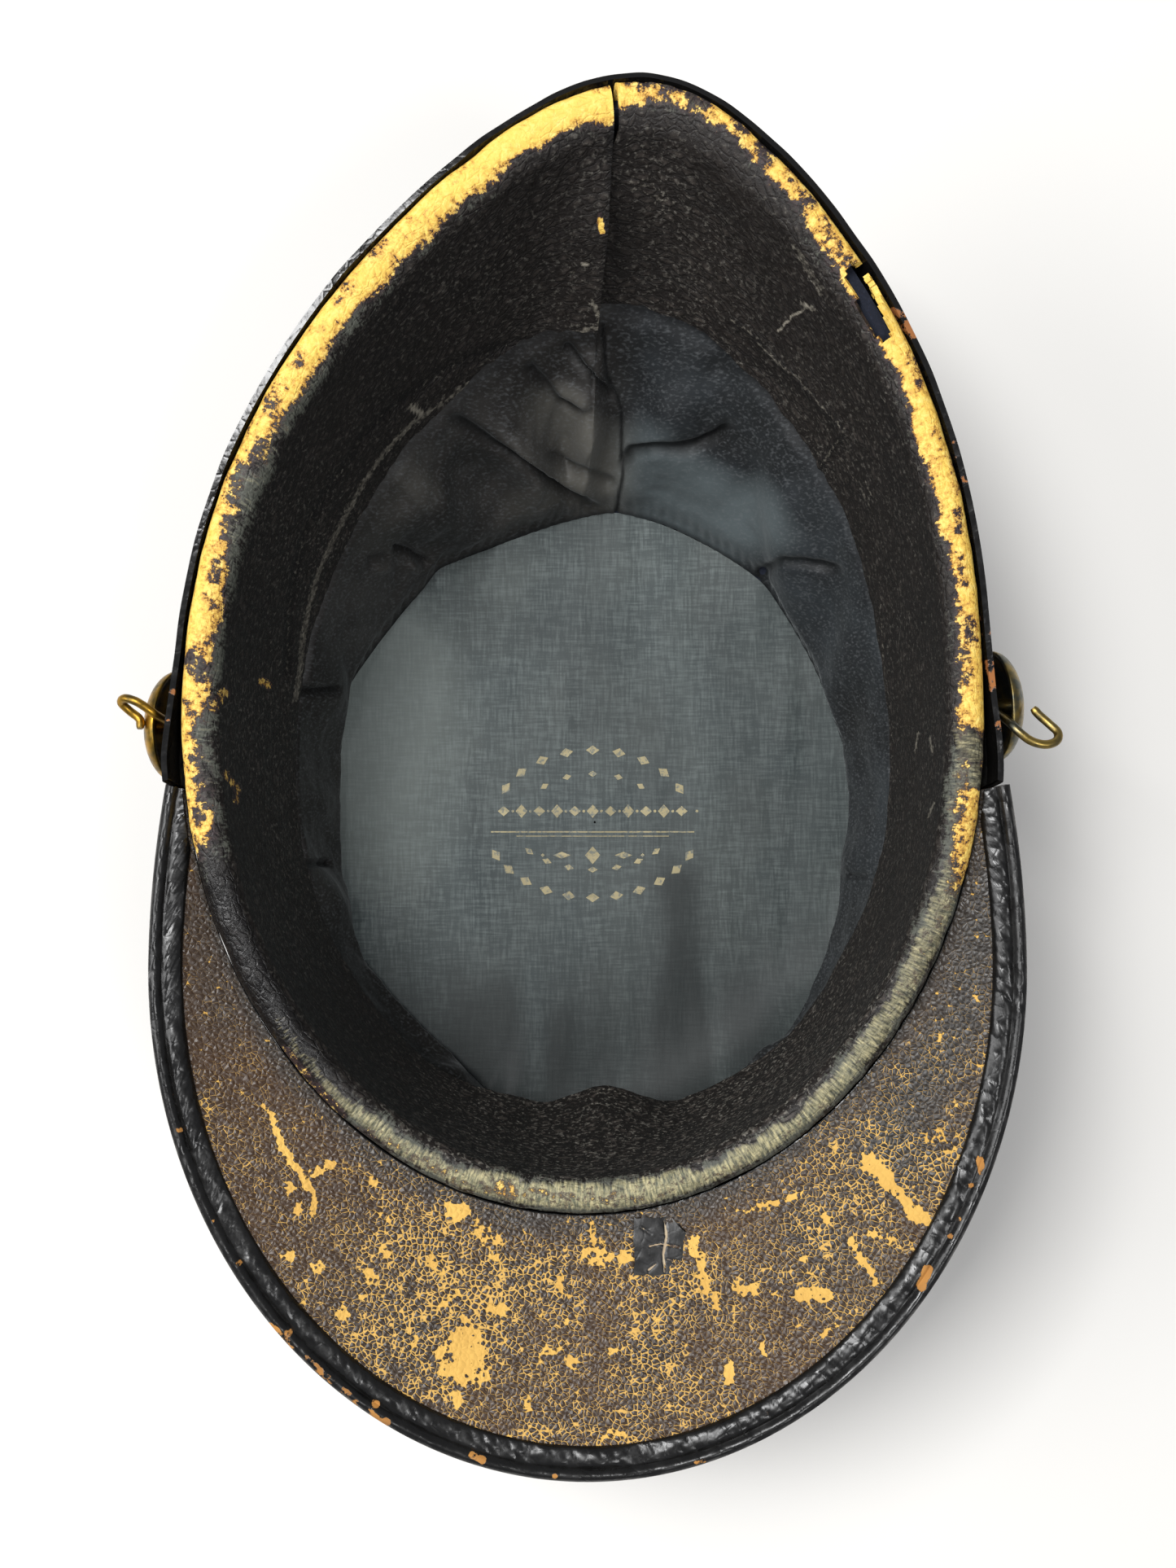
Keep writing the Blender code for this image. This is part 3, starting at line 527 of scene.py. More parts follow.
def wall(angle, out, depth=None, height=None):
    """Points at a distance out of the body's outer face, at a depth below the rim or at a height."""
    angle = np.asarray(angle, float)
    edge = opening_xy(angle)
    top = rim_height(edge[..., 1])
    if height is None:
        height = top - depth
    share = (top - height) / (top - CROWN_SEAM_HEIGHT)
    inside = np.clip(share, 0, 1)
    edge_normal, crown_normal = outward(opening_xy, angle), outward(crown_xy, angle)
    normal = unit(edge_normal * (1 - inside[..., None]) + crown_normal * inside[..., None])
    foot = edge - edge_normal * EDGE_BUILDUP
    place = foot + (crown_xy(angle) - foot) * share[..., None]
    place = place + normal * (out + BULGE * np.sin(np.pi * inside))[..., None]
    return np.concatenate([place, np.broadcast_to(height, share.shape)[..., None]], -1)


def smooth(low, high, value):
    """0 below low, 1 above high, and a smooth change between them."""
    share = np.clip((value - low) / (high - low), 0, 1)
    return share * share * (3 - 2 * share)


def from_table(table, column, value):
    """A column of a table, smoothly interpolated over its first one."""
    value = np.asarray(value, float)
    result = np.full(value.shape, float(table[-1][column]))
    for before, after in reversed(list(zip(table, table[1:]))):
        between = before[column] + (after[column] - before[column]) * smooth(before[0], after[0], value)
        result = np.where(value <= after[0], between, result)
    return result


NOISE_SIDE = 128
LATTICE = np.random.RandomState(7).uniform(-1, 1, (16, NOISE_SIDE, NOISE_SIDE))


def noise(x, y, size, layer=0):
    """Smooth irregular values from -1 to 1 over a plane, with bumps about that many mm apart."""
    x, y = np.asarray(x, float) / size, np.asarray(y, float) / size
    x0, y0 = np.floor(x).astype(int), np.floor(y).astype(int)
    tx, ty = smooth(0, 1, x - x0), smooth(0, 1, y - y0)
    values = LATTICE[layer % 16]

    def corner(dx, dy):
        return values[(x0 + dx) % NOISE_SIDE, (y0 + dy) % NOISE_SIDE]

    low = corner(0, 0) * (1 - tx) + corner(1, 0) * tx
    high = corner(0, 1) * (1 - tx) + corner(1, 1) * tx
    return low * (1 - ty) + high * ty


def seen(points):
    """Where points show in the photograph, in its pixels."""
    share = FOCAL_PX / (CAMERA_PLACE[2] - points[..., 2])
    x = PHOTO_SIZE[0] / 2 + (points[..., 0] - CAMERA_PLACE[0]) * share
    return x, PHOTO_SIZE[1] / 2 - (points[..., 1] - CAMERA_PLACE[1]) * share


def strokes(points, table, soft=0.5, adding=False, taper=0):
    """How strongly a table's strokes cover points: each is full along its line and fades out across it.

    With a taper, each also dies away over that share of its length at both ends.
    """
    x, y = seen(points)
    total = np.zeros(x.shape)
    for path, half_width, strength in table:
        whole = sum(math.dist(a, b) for a, b in zip(path, path[1:]))
        run = 0.0
        for (x1, y1), (x2, y2) in zip(path, path[1:] or path):
            dx, dy = x2 - x1, y2 - y1
            t = np.clip(((x - x1) * dx + (y - y1) * dy) / max(dx * dx + dy * dy, 1e-6), 0, 1)
            away = np.hypot(x - x1 - t * dx, y - y1 - t * dy)
            value = strength * (1 - smooth(half_width * soft, half_width * (2 - soft), away))
            if taper:
                here = (run + t * math.hypot(dx, dy)) / whole
                value = value * smooth(0, taper, np.minimum(here, 1 - here))
                run += math.hypot(dx, dy)
            total = total + value if adding else np.where(np.abs(value) > np.abs(total), value, total)
    return total


def select_only(thing):
    """Selects one object and makes it the active one."""
    bpy.ops.object.select_all(action="DESELECT")
    thing.select_set(True)
    bpy.context.view_layer.objects.active = thing


def apply_modifier(thing, kind, **settings):
    """Adds a modifier and applies it."""
    select_only(thing)
    modifier = thing.modifiers.new(kind.lower(), kind)
    for name, value in settings.items():
        setattr(modifier, name, value)
    bpy.ops.object.modifier_apply(modifier=modifier.name)


def weld(thing, distance):
    """Welds a closed mesh's points that are that close, in mm, and turns its faces outwards."""
    select_only(thing)
    bpy.ops.object.mode_set(mode="EDIT")
    bpy.ops.mesh.select_all(action="SELECT")
    bpy.ops.mesh.remove_doubles(threshold=distance * MM)
    bpy.ops.mesh.normals_make_consistent(inside=False)
    bpy.ops.object.mode_set(mode="OBJECT")


def shade(thing, sharp):
    """Shades a piece smooth, except at edges of more than that many degrees."""
    thing.data.shade_smooth()
    thing.data.set_sharp_from_angle(angle=math.radians(sharp))


def edge_lengths(points, axis):
    """The running length of a grid of points along one axis."""
    steps = np.linalg.norm(np.diff(points, axis=axis), axis=-1)
    start = np.zeros_like(np.take(steps, [0], axis=axis))
    return np.concatenate([start, np.cumsum(steps, axis=axis)], axis=axis)


def sheet_from_grid(name, points, fields, thickness, closed=False, flip=False, kept=None):
    """A sheet of that thickness under a grid of points in mm, with a UV map in metres and its named fields.

    The grid's faces look to the shown side, and the thickness goes to the other one.
    """
    rows, columns = points.shape[:2]
    spans = rows if closed else rows - 1
    i, j = np.meshgrid(np.arange(spans), np.arange(columns - 1), indexing="ij")
    if kept is not None:
        i, j = i[kept[:spans]], j[kept[:spans]]
    i, j = i.ravel(), j.ravel()
    corners = [(i, j), (i + 1, j), (i + 1, j + 1), (i, j + 1)]
    if flip:
        corners.reverse()
    quads = np.stack([(a % rows) * columns + b for a, b in corners], -1)
    used, new_index = np.unique(quads, return_inverse=True)
    mesh = bpy.data.meshes.new(name)
    flat = points.reshape(-1, 3)[used] * MM
    mesh.from_pydata(flat.tolist(), [], new_index.reshape(-1, 4).tolist())
    ring = np.concatenate([points, points[:1]]) if closed else points
    along = np.mean(edge_lengths(ring, 0), axis=1)
    across = edge_lengths(ring, 1)
    uv = np.stack([plan(along[a], across[a, b]) for a, b in corners], 1) * MM
    mesh.uv_layers.new(name="UVMap").data.foreach_set("uv", uv.ravel())
    for field, values in fields.items():
        layer = mesh.attributes.new(field, "FLOAT", "POINT")
        layer.data.foreach_set("value", np.broadcast_to(values, (rows, columns)).ravel()[used])
    thing = bpy.data.objects.new(name, mesh)
    bpy.context.scene.collection.objects.link(thing)
    if thickness:
        apply_modifier(thing, "SOLIDIFY", thickness=thickness * MM, offset=-1.0)
    shade(thing, 40)
    return thing


def linear(code):
    """A colour as linear values from its sRGB hex code."""
    values = [int(code[k : k + 2], 16) / 255 for k in (1, 3, 5)]
    return (*[v / 12.92 if v <= 0.04045 else ((v + 0.055) / 1.055) ** 2.4 for v in values], 1.0)


def add(tree, kind, out=0, settings=None, **inputs):
    """Adds a node with its settings and its inputs, which are values, colour codes or other nodes' outputs.

    An input's name has _ for a space, and _6 stands for the socket with that number. Gives the output wanted.
    """
    made = tree.nodes.new("ShaderNode" + kind)
    for name, value in (settings or {}).items():
        setattr(made, name, value)
    for name, value in inputs.items():
        socket = made.inputs[int(name[1:]) if name[0] == "_" else name.replace("_", " ")]
        if isinstance(value, bpy.types.NodeSocket):
            tree.links.new(value, socket)
        else:
            socket.default_value = linear(value) if isinstance(value, str) else value
    return made.outputs[out]


def new_finish(name, **constants):
    """A material whose Principled shader has those constants. Gives its node tree and the shader too."""
    material = bpy.data.materials.new(name)
    material.use_nodes = True
    shader = material.node_tree.nodes["Principled BSDF"]
    for socket, value in constants.items():
        shader.inputs[socket.replace("_", " ")].default_value = linear(value) if isinstance(value, str) else value
    return material, material.node_tree, shader


def wear(thing, material):
    """Gives a piece its material and its place on the root body."""
    thing.data.materials.clear()
    thing.data.materials.append(material)
    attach(thing, "root")


# Shapes of the soft parts


def sweatband_leather():
    """The sweatband: one leather strip rolled over the rim, split at the back, its left end lapping inside."""
    turn = np.linspace(1, 0, 800)[:, None]
    angle = SPLIT_ANGLE - turn * (TURN - SPLIT_GAP)
    degrees = turn * 360
    drop = from_table(SWEATBAND_TABLE, 1, degrees)
    stand_off = from_table(SWEATBAND_TABLE, 2, degrees)
    lift = FLAP_LIFT * smooth(1 - FLAP_TURN / TURN, 1, turn)
    round_it = np.linspace(0, math.pi, ROLL_STEPS)[None, :]
    half, middle = (ROLL_OUTER - ROLL_INNER) / 2, (ROLL_OUTER + ROLL_INNER) / 2
    down = np.linspace(0, 1, 39)[None, 1:]
    ones = np.ones_like(turn)
    leaned = ROLL_LEAN * np.maximum(0, np.sin(angle)) ** 2
    place = opening_xy(angle)
    ragged = 0.35 * noise(place[..., 0], place[..., 1], 1.7, 1) + 0.5 * noise(place[..., 0], place[..., 1], 6, 2)
    out = np.concatenate([
        ROLL_OUTER * ones,
        middle + half * np.cos(round_it) + leaned * np.sin(round_it),
        ROLL_INNER - stand_off * down**1.5 - lift * smooth(0, 0.5, down),
    ], axis=1)
    depth = np.concatenate([
        ROLL_LEG_DEPTH * ones,
        (ROLL_DEPTH - ROLL_DEPTH * np.sin(round_it)) * ones,
        ROLL_DEPTH + (drop + ragged - ROLL_DEPTH) * down,
    ], axis=1)
    over_skirt = np.concatenate([np.zeros((1, ROLL_STEPS + 1)), down], axis=1)
    lap = LAP_ANGLE * smooth(0.025, 0, turn) * smooth(0, 0.15, over_skirt)
    angle_here = angle + lap
    along = np.degrees(angle) * MM_PER_DEGREE
    ripple = 0.35 * noise(along, depth, 9, 3) * np.sqrt(over_skirt) + 0.12 * noise(along * 1.3, depth, 3, 4)
    rolled = (0.25 * noise(along, depth * 0.3, 7, 5) + 0.12 * noise(along, depth, 2.4, 6)) * (over_skirt == 0)
    place = wall(angle_here, out + ripple, depth=depth - rolled)
    ripple = ripple + 0.45 * strokes(place, LEATHER_CREASES) * (over_skirt > 0)
    points = wall(angle_here, out + ripple, depth=depth - rolled)
    hole = strokes(points, LEATHER_HOLES) + 0.5 * noise(along, depth, 1.4, 8)
    # the creases are painted darker, as shade
    folds = 0.55 * np.abs(strokes(points, LEATHER_CREASES))
    fields = {
        "across": edge_lengths(points, 1) - (ROLL_LEG_DEPTH - ROLL_DEPTH), "bearing": np.degrees(angle) % 360,
        "fleck": strokes(points, DYE_FLECKS), "torn": strokes(points, LEATHER_HOLES, -0.4),
        "tan": strokes(points, TAN_MARKS), "marked": strokes(points, LEATHER_SCUFFS),
        # painted shade: along the creases, and the flap's shadow painted on the part to its right
        "painted_shade": np.maximum(folds, strokes(points, FLAP_SHADOW) * (turn > 0.5)),
    }
    return sheet_from_grid("sweatband_leather", points, fields, LEATHER_THICKNESS, kept=hole[:, :-1] < HOLE_EDGE)


def fold_height(degrees, share):
    """How far the satin's folds stand inwards."""
    window = np.sin(np.pi * smooth(0, 1, share)) ** 0.8
    total = np.zeros(np.broadcast_shapes(degrees.shape, share.shape))
    for top, foot, height, half_width in FOLD_TABLE:
        middle = top + (foot - top) * share
        away = np.abs((degrees - middle + 180) % 360 - 180)
        bump = height * np.cos(np.pi / 2 * np.minimum(away / half_width, 1)) ** 2
        total = np.hypot(total, bump)
    return total * window


def cotton_edge(angle):
    """The crown cotton's edge: where its photographed outline lies on the crown or, beyond it, up the wall."""
    x, y = np.array(COTTON_OUTLINE, float).T
    middle = COTTON_MIDDLE
    bearing = np.arctan2(middle[1] - y, x - middle[0])
    order = np.argsort(bearing)
    reach = np.hypot(x - middle[0], y - middle[1])
    low = CROWN_SEAM_HEIGHT + COTTON_LIFT
    heights = np.linspace(low, low + COTTON_CLIMB, COTTON_CLIMB + 1)
    wall_out = SATIN_OUT - 0.3
    each = np.ones((len(angle), len(heights)))
    places = wall(angle[:, None], wall_out * each, height=heights * each)
    px, py = seen(places)
    seen_bearing = np.arctan2(middle[1] - py[:, 0], px[:, 0] - middle[0])
    around = [np.interp(seen_bearing + turn, bearing[order], reach[order], period=TURN) for turn in (-0.02, 0, 0.02)]
    wanted = sum(around) / 3
    offered = np.hypot(px - middle[0], py - middle[1])
    height = np.array([np.interp(w, o, heights) for w, o in zip(wanted, offered)])
    share = (CAMERA_PLACE[2] - height) / FOCAL_PX
    shown_x = middle[0] + wanted * np.cos(seen_bearing) - PHOTO_SIZE[0] / 2
    shown_y = PHOTO_SIZE[1] / 2 - middle[1] + wanted * np.sin(seen_bearing)
    limit = wall(angle, wall_out * np.ones(len(angle)), height=height)
    edge = np.stack([CAMERA_PLACE[0] + shown_x * share, CAMERA_PLACE[1] + shown_y * share, height], -1)
    inside = np.minimum(1, np.linalg.norm(limit[:, :2], axis=1) / np.linalg.norm(edge[:, :2], axis=1))
    edge[:, :2] *= inside[:, None]
    return edge


def satin_lining():
    """The loose satin side lining, from behind the sweatband to the edge of the crown's cotton."""
    angle = (np.linspace(0, TURN, 900, endpoint=False) + SPLIT_ANGLE)[:, None]
    rim = rim_height(opening_xy(angle)[..., 1])
    turn = ((SPLIT_ANGLE - angle) % TURN) / TURN
    free = rim - from_table(SWEATBAND_TABLE, 1, turn * 360) - 1.0
    behind = np.linspace(0, 1, 5)[None, :-1]
    share = np.linspace(0, 1, 88)[None, :]
    edge = cotton_edge(angle[:, 0])
    foot = edge[:, None, 2] + 0.25
    height = np.concatenate([
        (rim - SATIN_TOP_DEPTH) * (1 - behind) + free * behind,
        free + (foot - free) * share,
    ], axis=1)
    share = np.concatenate([np.zeros((1, 4)), share], axis=1)
    folds = fold_height(np.degrees(angle) % 360, share)
    loose = smooth(0, 0.1, share) * (1 - smooth(0.8, 1, share))
    out = SATIN_OUT - folds - 2.6 * loose
    place = wall(np.broadcast_to(angle, height.shape), out, height=height)
    pulled = smooth(0.45, 1, share)[..., None] ** 1.5
    place[..., :2] += (edge[:, None, :2] - place[:, -1:, :2]) * pulled
    valleys, ridges = strokes(place, SATIN_VALLEYS, 0.1, taper=0.15), strokes(place, SATIN_RIDGES, 0.1, taper=0.35)
    seam = strokes(place, SATIN_SEAM, 0.2)
    run = np.degrees(angle) * 1.1
    slack = 0.55 * noise(run, height, 14, 1) + 0.3 * noise(run + height * 0.6, height * 0.4, 5, 2)
    slack += 0.12 * noise(run * 1.2, height, 2.2, 3)
    puckers = 0.3 * np.sin(run * 2.1 + 2 * noise(run, height, 9, 4)) * smooth(0.8, 1, share)
    free_part = smooth(0, 0.12, share) * (1 - 0.75 * smooth(0.93, 1, share))
    inwards = (2.2 * ridges - 1.7 * np.maximum(valleys, 0) + slack + puckers) * free_part - 0.5 * seam
    inner = unit(-place[..., :2])
    points = place + np.concatenate([inner * inwards[..., None], (0.35 * inwards * free_part)[..., None]], -1)
    # painted shade at the satin's foot by the cotton and at its top behind the sweatband
    shade_at_ends = smooth(0.96, 1.0, share) + 0.6 * (1 - smooth(0, 0.1, share))
    # painted light and shade from the table, painted sheen along the ridges, and a random tone
    painted_light_and_tone = strokes(points, SATIN_LIGHT_AND_SHADE, 0.0, adding=True) + 0.3 * ridges + 0.2 * noise(run, height, 11, 6)
    # painted light: the lit right side gets the bluer copy of the colours
    lit_side_cast = smooth(*SATIN_LIT_SIDE_FROM, seen(points)[0])
    # painted shade along the fold valleys and the seam
    fields = {"painted_shade": np.maximum(valleys, seam), "painted_light_and_tone": painted_light_and_tone, "lit_side_cast": lit_side_cast, "foot": shade_at_ends}
    return sheet_from_grid("satin_side_lining", points, fields, 0, closed=True)


def crown_oval():
    """The cotton inside the crown: nearly flat, its edge turned up where the satin is seamed to it."""
    angle = np.linspace(0, TURN, 400, endpoint=False)
    share = np.concatenate([np.linspace(0.004, 0.9, 66), np.linspace(0.91, 1, 12)])[None, :]
    edge = cotton_edge(angle)[:, None, :]
    place = edge[..., :2] * share[..., None]
    low = CROWN_THICKNESS + FIT_GAP + 1.0
    x, y = place[..., 0], place[..., 1]
    wrinkles = 0.25 * noise(x, y * 0.4, 9, 6) + 0.14 * noise(x, y * 0.15, 3.5, 5)
    height = low + 1.4 * (1 - share**2) + wrinkles + (edge[..., 2] - low) * share**10
    points = np.concatenate([place, height[..., None]], -1)
    fields = {"stain_and_shade": strokes(points, COTTON_STAINS_AND_SHADE, 0.0, adding=True)}
    return sheet_from_grid("crown_oval_cotton", points, fields, COTTON_THICKNESS, closed=True, flip=True)


def visor_bearing(t, end_angle):
    """The bearing at a share t of the way from the visor's left end to its right."""
    return math.pi - end_angle + t * (math.pi + 2 * end_angle)


def visor_drop(angle):
    """How far below the opening's plane the visor meets the cap."""
    return VISOR_DROP_SIDE + (VISOR_DROP_FRONT - VISOR_DROP_SIDE) * np.maximum(0, -np.sin(angle))


def visor_place(t, across, down, from_edge):
    """Points of the visor, which ends that far from its outline.

    t runs from its left end to its right, across from the cap to its edge.
    """
    inner_angle, outer_angle = visor_bearing(t, VISOR_END_ANGLE), visor_bearing(t, VISOR_OUTER_END_ANGLE)
    inner = wall(inner_angle, ROLL_OUTER + 2 * FIT_GAP, depth=visor_drop(inner_angle))
    reach = visor_edge_xy(outer_angle) - inner[..., :2]
    square = np.sum(reach * outward(visor_edge_xy, outer_angle), -1)
    across = across * (1 - np.minimum(from_edge, square - VISOR_LEAST_ROOM) / square)
    place = inner[..., :2] + reach * across[..., None]
    height = inner[..., 2] + np.linalg.norm(reach, axis=-1) * across * VISOR_RISE - down
    return np.concatenate([place, height[..., None]], -1)


def visor_layer(name, down, thickness, rows, columns):
    """A layer of the visor at a depth below its underside, which is the side shown."""
    t = np.linspace(0, 1, rows)[:, None]
    across = np.linspace(0, 1, columns)[None, :] * np.ones_like(t)
    points = visor_place(t, across, down, EDGE_ROOM)
    x, y = points[..., 0], points[..., 1]
    points[..., 2] += (0.14 * noise(x, y, 8, 7) + 0.05 * noise(x, y, 2.5, 8)) * np.sin(np.pi * across)
    return sheet_from_grid(name, points, {"across": across}, thickness, flip=True)


def visor_binding():
    """The patent leather strip folded round the visor's edge: a bead, a groove and a padded, creased lap."""
    t = np.linspace(0, 1, 1000)[:, None]
    total, gap, skin = BOARD_BOTTOM, UNDERLAY_GAP, BINDING_THICKNESS
    up, low = -gap - skin, total + gap + skin
    profile = (
        # (mm in from the edge, mm below the lap's nominal face)
        (6.6, 0.78), (6.45, 0.25), (6.2, 0.0), (5.8, -0.22), (5.2, -0.36), (4.6, -0.4), (4.0, -0.36), (3.5, -0.22),
        (3.1, 0.0), (2.85, 0.2), (2.65, 0.32), (2.4, 0.1), (2.1, -0.2), (1.75, -0.38), (1.4, -0.42), (1.05, -0.3),
        (0.75, -0.05), (0.5, 0.2), (0.25, 0.45), (0.08, 0.9), (0.0, total / 2 - 0.5 - up), (0.0, total / 2 + 0.5 - up),
        (0.3, low - 0.9 - up), (0.9, low - 0.3 - up), (1.7, low - 0.05 - up), (2.8, low + 0.05 - up),
        (4.6, low + 0.02 - up), (6.0, low - up),
    )
    from_edge = np.array([row[0] for row in profile])[None, :]
    down = up + np.array([row[1] for row in profile])[None, :] * np.ones_like(t)
    run = edge_lengths(visor_edge_xy(visor_bearing(t, VISOR_OUTER_END_ANGLE)), 0)
    upper = smooth(total / 2, up, down)
    lap = smooth(2.8, 3.8, from_edge) * smooth(6.7, 5.6, from_edge)
    twist = run + 0.7 * from_edge + 0.6 * noise(run, 0 * run, 6, 3)
    creases = (1 - np.abs(np.sin(np.pi * twist / 2.6))) ** 3 * (0.6 + 0.4 * noise(run, 0 * run, 3, 4))
    lumps = 0.42 * noise(run, from_edge * 0.3, 8, 8) + 0.22 * noise(run - from_edge, from_edge * 1.5, 2.6, 9)
    bead = smooth(3.0, 2.2, from_edge) * smooth(0.2, 0.9, from_edge)
    beaded = 0.12 * noise(run, 0 * run, 1.9, 10) + 0.16 * noise(run, 0 * run, 6, 11)
    shift = (0.42 * creases - lumps) * lap - beaded * bead
    wavering = from_edge + 0.25 * noise(run, 0 * run, 9, 12) * lap
    points = visor_place(t, np.ones_like(down), down + shift * upper, wavering)
    fields = {"chipped": strokes(points, BINDING_CHIPS) * 0.6}
    return sheet_from_grid("visor_binding_strip", points, fields, BINDING_SKIN, flip=True)


def base_band():
    """The patent leather band round the base. It laps the rim's roll, splays towards the visor and clears it."""
    visor_end, band_end = VISOR_END_ANGLE + math.radians(0.1), VISOR_END_ANGLE + math.radians(0.6)
    angle = np.unique(np.round(np.concatenate([
        np.linspace(0, TURN, 720, endpoint=False),
        [a % TURN for a in (visor_end, band_end, math.pi - band_end, math.pi - visor_end)],
    ]), 6))[:, None]
    latitude = np.arcsin(np.sin(angle))
    behind = smooth(visor_end, band_end, latitude)
    splay = 2.4 * (1 - smooth(band_end, band_end + math.radians(14), latitude)) * behind
    edge = (visor_drop(angle) + VISOR_BUILDUP + VISOR_CLEARANCE) * (1 - behind) + 1.0 * behind
    flare_end = np.maximum(FLARE_DEPTH, edge + 1.0)
    near = FIT_GAP + BAND_THICKNESS
    lapped = near + ROLL_OUTER
    low = np.linspace(0, 1, 15)[None, :]
    out = np.concatenate([
        lapped + splay - 0.12, lapped + splay, lapped + splay * 0.75, lapped + splay / 2,
        near + 0.35 * ROLL_OUTER * np.ones_like(angle), near + 0 * low * angle,
    ], axis=1)
    straight, bend = flare_end - 0.6 - edge, flare_end + 1.6
    depth = np.concatenate([
        edge, edge + straight * 0.12, edge + straight * 0.5, edge + straight, flare_end + 0.6,
        bend + (BAND_DEPTH - bend) * low,
    ], axis=1)
    out = out + 0.12 * noise(np.degrees(angle) * MM_PER_DEGREE, depth, 5, 9)
    points = wall(np.broadcast_to(angle, out.shape), out, depth=depth)
    torn = strokes(points, BAND_CHIPS) * (1 - smooth(3, 9, depth - edge))
    fields = {"chipped": 0.47 * torn + 0.08}
    return sheet_from_grid("base_band_leather", points, fields, BAND_THICKNESS, closed=True, flip=True)


def body_cloth():
    """The stiffened wool side wall, from under the rim's roll down to the crown's seam."""
    angle = (np.linspace(0, TURN, 480, endpoint=False) + SPLIT_ANGLE)[:, None]
    top = rim_height(opening_xy(angle)[..., 1]) - BODY_EDGE_DEPTH
    share = np.linspace(0, 1, 32)[None, :]
    height = top + (CROWN_SEAM_HEIGHT - top) * share
    run = np.degrees(angle) * MM_PER_DEGREE
    low = smooth(0.3, 0.5, share) * (1 - smooth(0.9, 1.0, share))
    out = (0.5 * noise(run, height, 24, 10) + 0.2 * noise(run, height, 9, 11)) * low
    points = wall(np.broadcast_to(angle, height.shape), out - 0.2 * low, height=height)
    return sheet_from_grid("body_wool", points, {}, BODY_THICKNESS, closed=True, flip=True)


def crown_cloth():
    """The flat oval of the crown, cloth drawn over board, that the cap lies on."""
    angle = np.linspace(0, TURN, 240, endpoint=False)[:, None]
    inner = WELT_RADIUS * 2 - 1.4 + FIT_GAP
    edge = plan((CROWN_HALF_WIDTH - inner) * np.cos(angle), (CROWN_HALF_LENGTH - inner) * np.sin(angle))
    share = np.concatenate([np.linspace(0.01, 0.98, 20), [1.0]])[None, :]
    place = edge * share[..., None]
    height = 0.06 + 0.5 * smooth(0.985, 1.0, share) - 0.05 * smooth(0.3, 0.8, share)
    points = np.concatenate([place, (height * np.ones_like(angle))[..., None]], -1)
    return sheet_from_grid("crown_wool", points, {}, CROWN_THICKNESS - 0.6, closed=True)


def crown_piping():
    """The piping in the seam between the crown and the body, a covered cord on an oval."""
    angle = np.linspace(0, TURN, 480, endpoint=False)[:, None]
    round_it = np.linspace(0, TURN, 17)[None, :]
    radius = WELT_RADIUS * (0.97 + 0.015 * noise(np.degrees(angle) * MM_PER_DEGREE, 0 * angle, 4, 12))
    place = crown_xy(angle) + outward(crown_xy, angle) * (radius * np.cos(round_it) - FIT_GAP)[..., None]
    height = WELT_HEIGHT + radius * np.sin(round_it)
    points = np.concatenate([place, height[..., None]], -1)
    thing = sheet_from_grid("crown_piping", points, {}, 0, closed=True, flip=True)
    weld(thing, 0.01)
    return thing


# Hard parts, made by hand


BOSS_RADIUS = 11.0
BOSS_DOME = 5.0
BOSS_WALL = 0.8
BOSS_STANDOFF = 4.2
BOSS_LEAN = math.radians(7)
BOSS_DEPTH = 13.4
POST_RADIUS = 1.5
WIRE_RADIUS = 0.85
LEFT_BOSS_Y = 23.3
RIGHT_BOSS_Y = 27.4
LEFT_HOOK_TABLE = (
    # (out of the boss's edge, towards the back, towards the opening), all in mm from the boss's middle
    (-0.6, 0.0, 0.0),
    (-0.6, 0.6, 5.0),
    (-0.6, 1.8, 11.0),
    (0.2, 2.8, 12.6),
    (2.4, 4.2, 13.6),
    (4.8, 4.7, 13.4),
    (6.1, 3.9, 12.2),
    (5.0, 2.4, 10.8),
    (3.2, 0.9, 10.2),
    (2.8, -0.9, 10.6),
)
RIGHT_HOOK_TABLE = (
    # (out of the boss's edge, towards the back, towards the opening), all in mm from the boss's middle
    (-0.6, 0.0, 0.0),
    (-0.6, -1.6, 5.0),
    (-0.6, -3.6, 10.6),
    (0.2, -5.2, 12.2),
    (2.4, -7.2, 13.0),
    (5.2, -8.0, 13.2),
    (7.6, -7.4, 12.8),
    (8.4, -5.8, 11.8),
    (7.2, -4.0, 10.6),
    (5.6, -2.2, 9.8),
    (4.6, -0.8, 9.4),
)


def boss_frame(side, y):
    """A boss's middle, in mm, and the directions out, to the back and to the opening."""
    angle = math.asin((y - OPENING_MIDDLE[1]) / OPENING_BACK_LENGTH)
    if side < 0:
        angle = math.pi - angle
    seat = Vector(wall(angle, FIT_GAP + BAND_THICKNESS, depth=BOSS_DEPTH))
    above = Vector(wall(angle, FIT_GAP + BAND_THICKNESS, depth=BOSS_DEPTH - 3.0))
    out_xy = outward(opening_xy, np.float64(angle))
    along = Vector((-out_xy[1], out_xy[0], 0)) * side
    rise = above - seat
    up = (rise - along * rise.dot(along)).normalized()
    out = along.cross(up) * side
    leaned_out = out * math.cos(BOSS_LEAN) - up * math.sin(BOSS_LEAN)
    leaned_up = up * math.cos(BOSS_LEAN) + out * math.sin(BOSS_LEAN)
    return seat + out * BOSS_STANDOFF, leaned_out, along, leaned_up


def settle(thing):
    """Puts an object's place into its mesh."""
    select_only(thing)
    bpy.ops.object.transform_apply(location=True, rotation=True, scale=True)


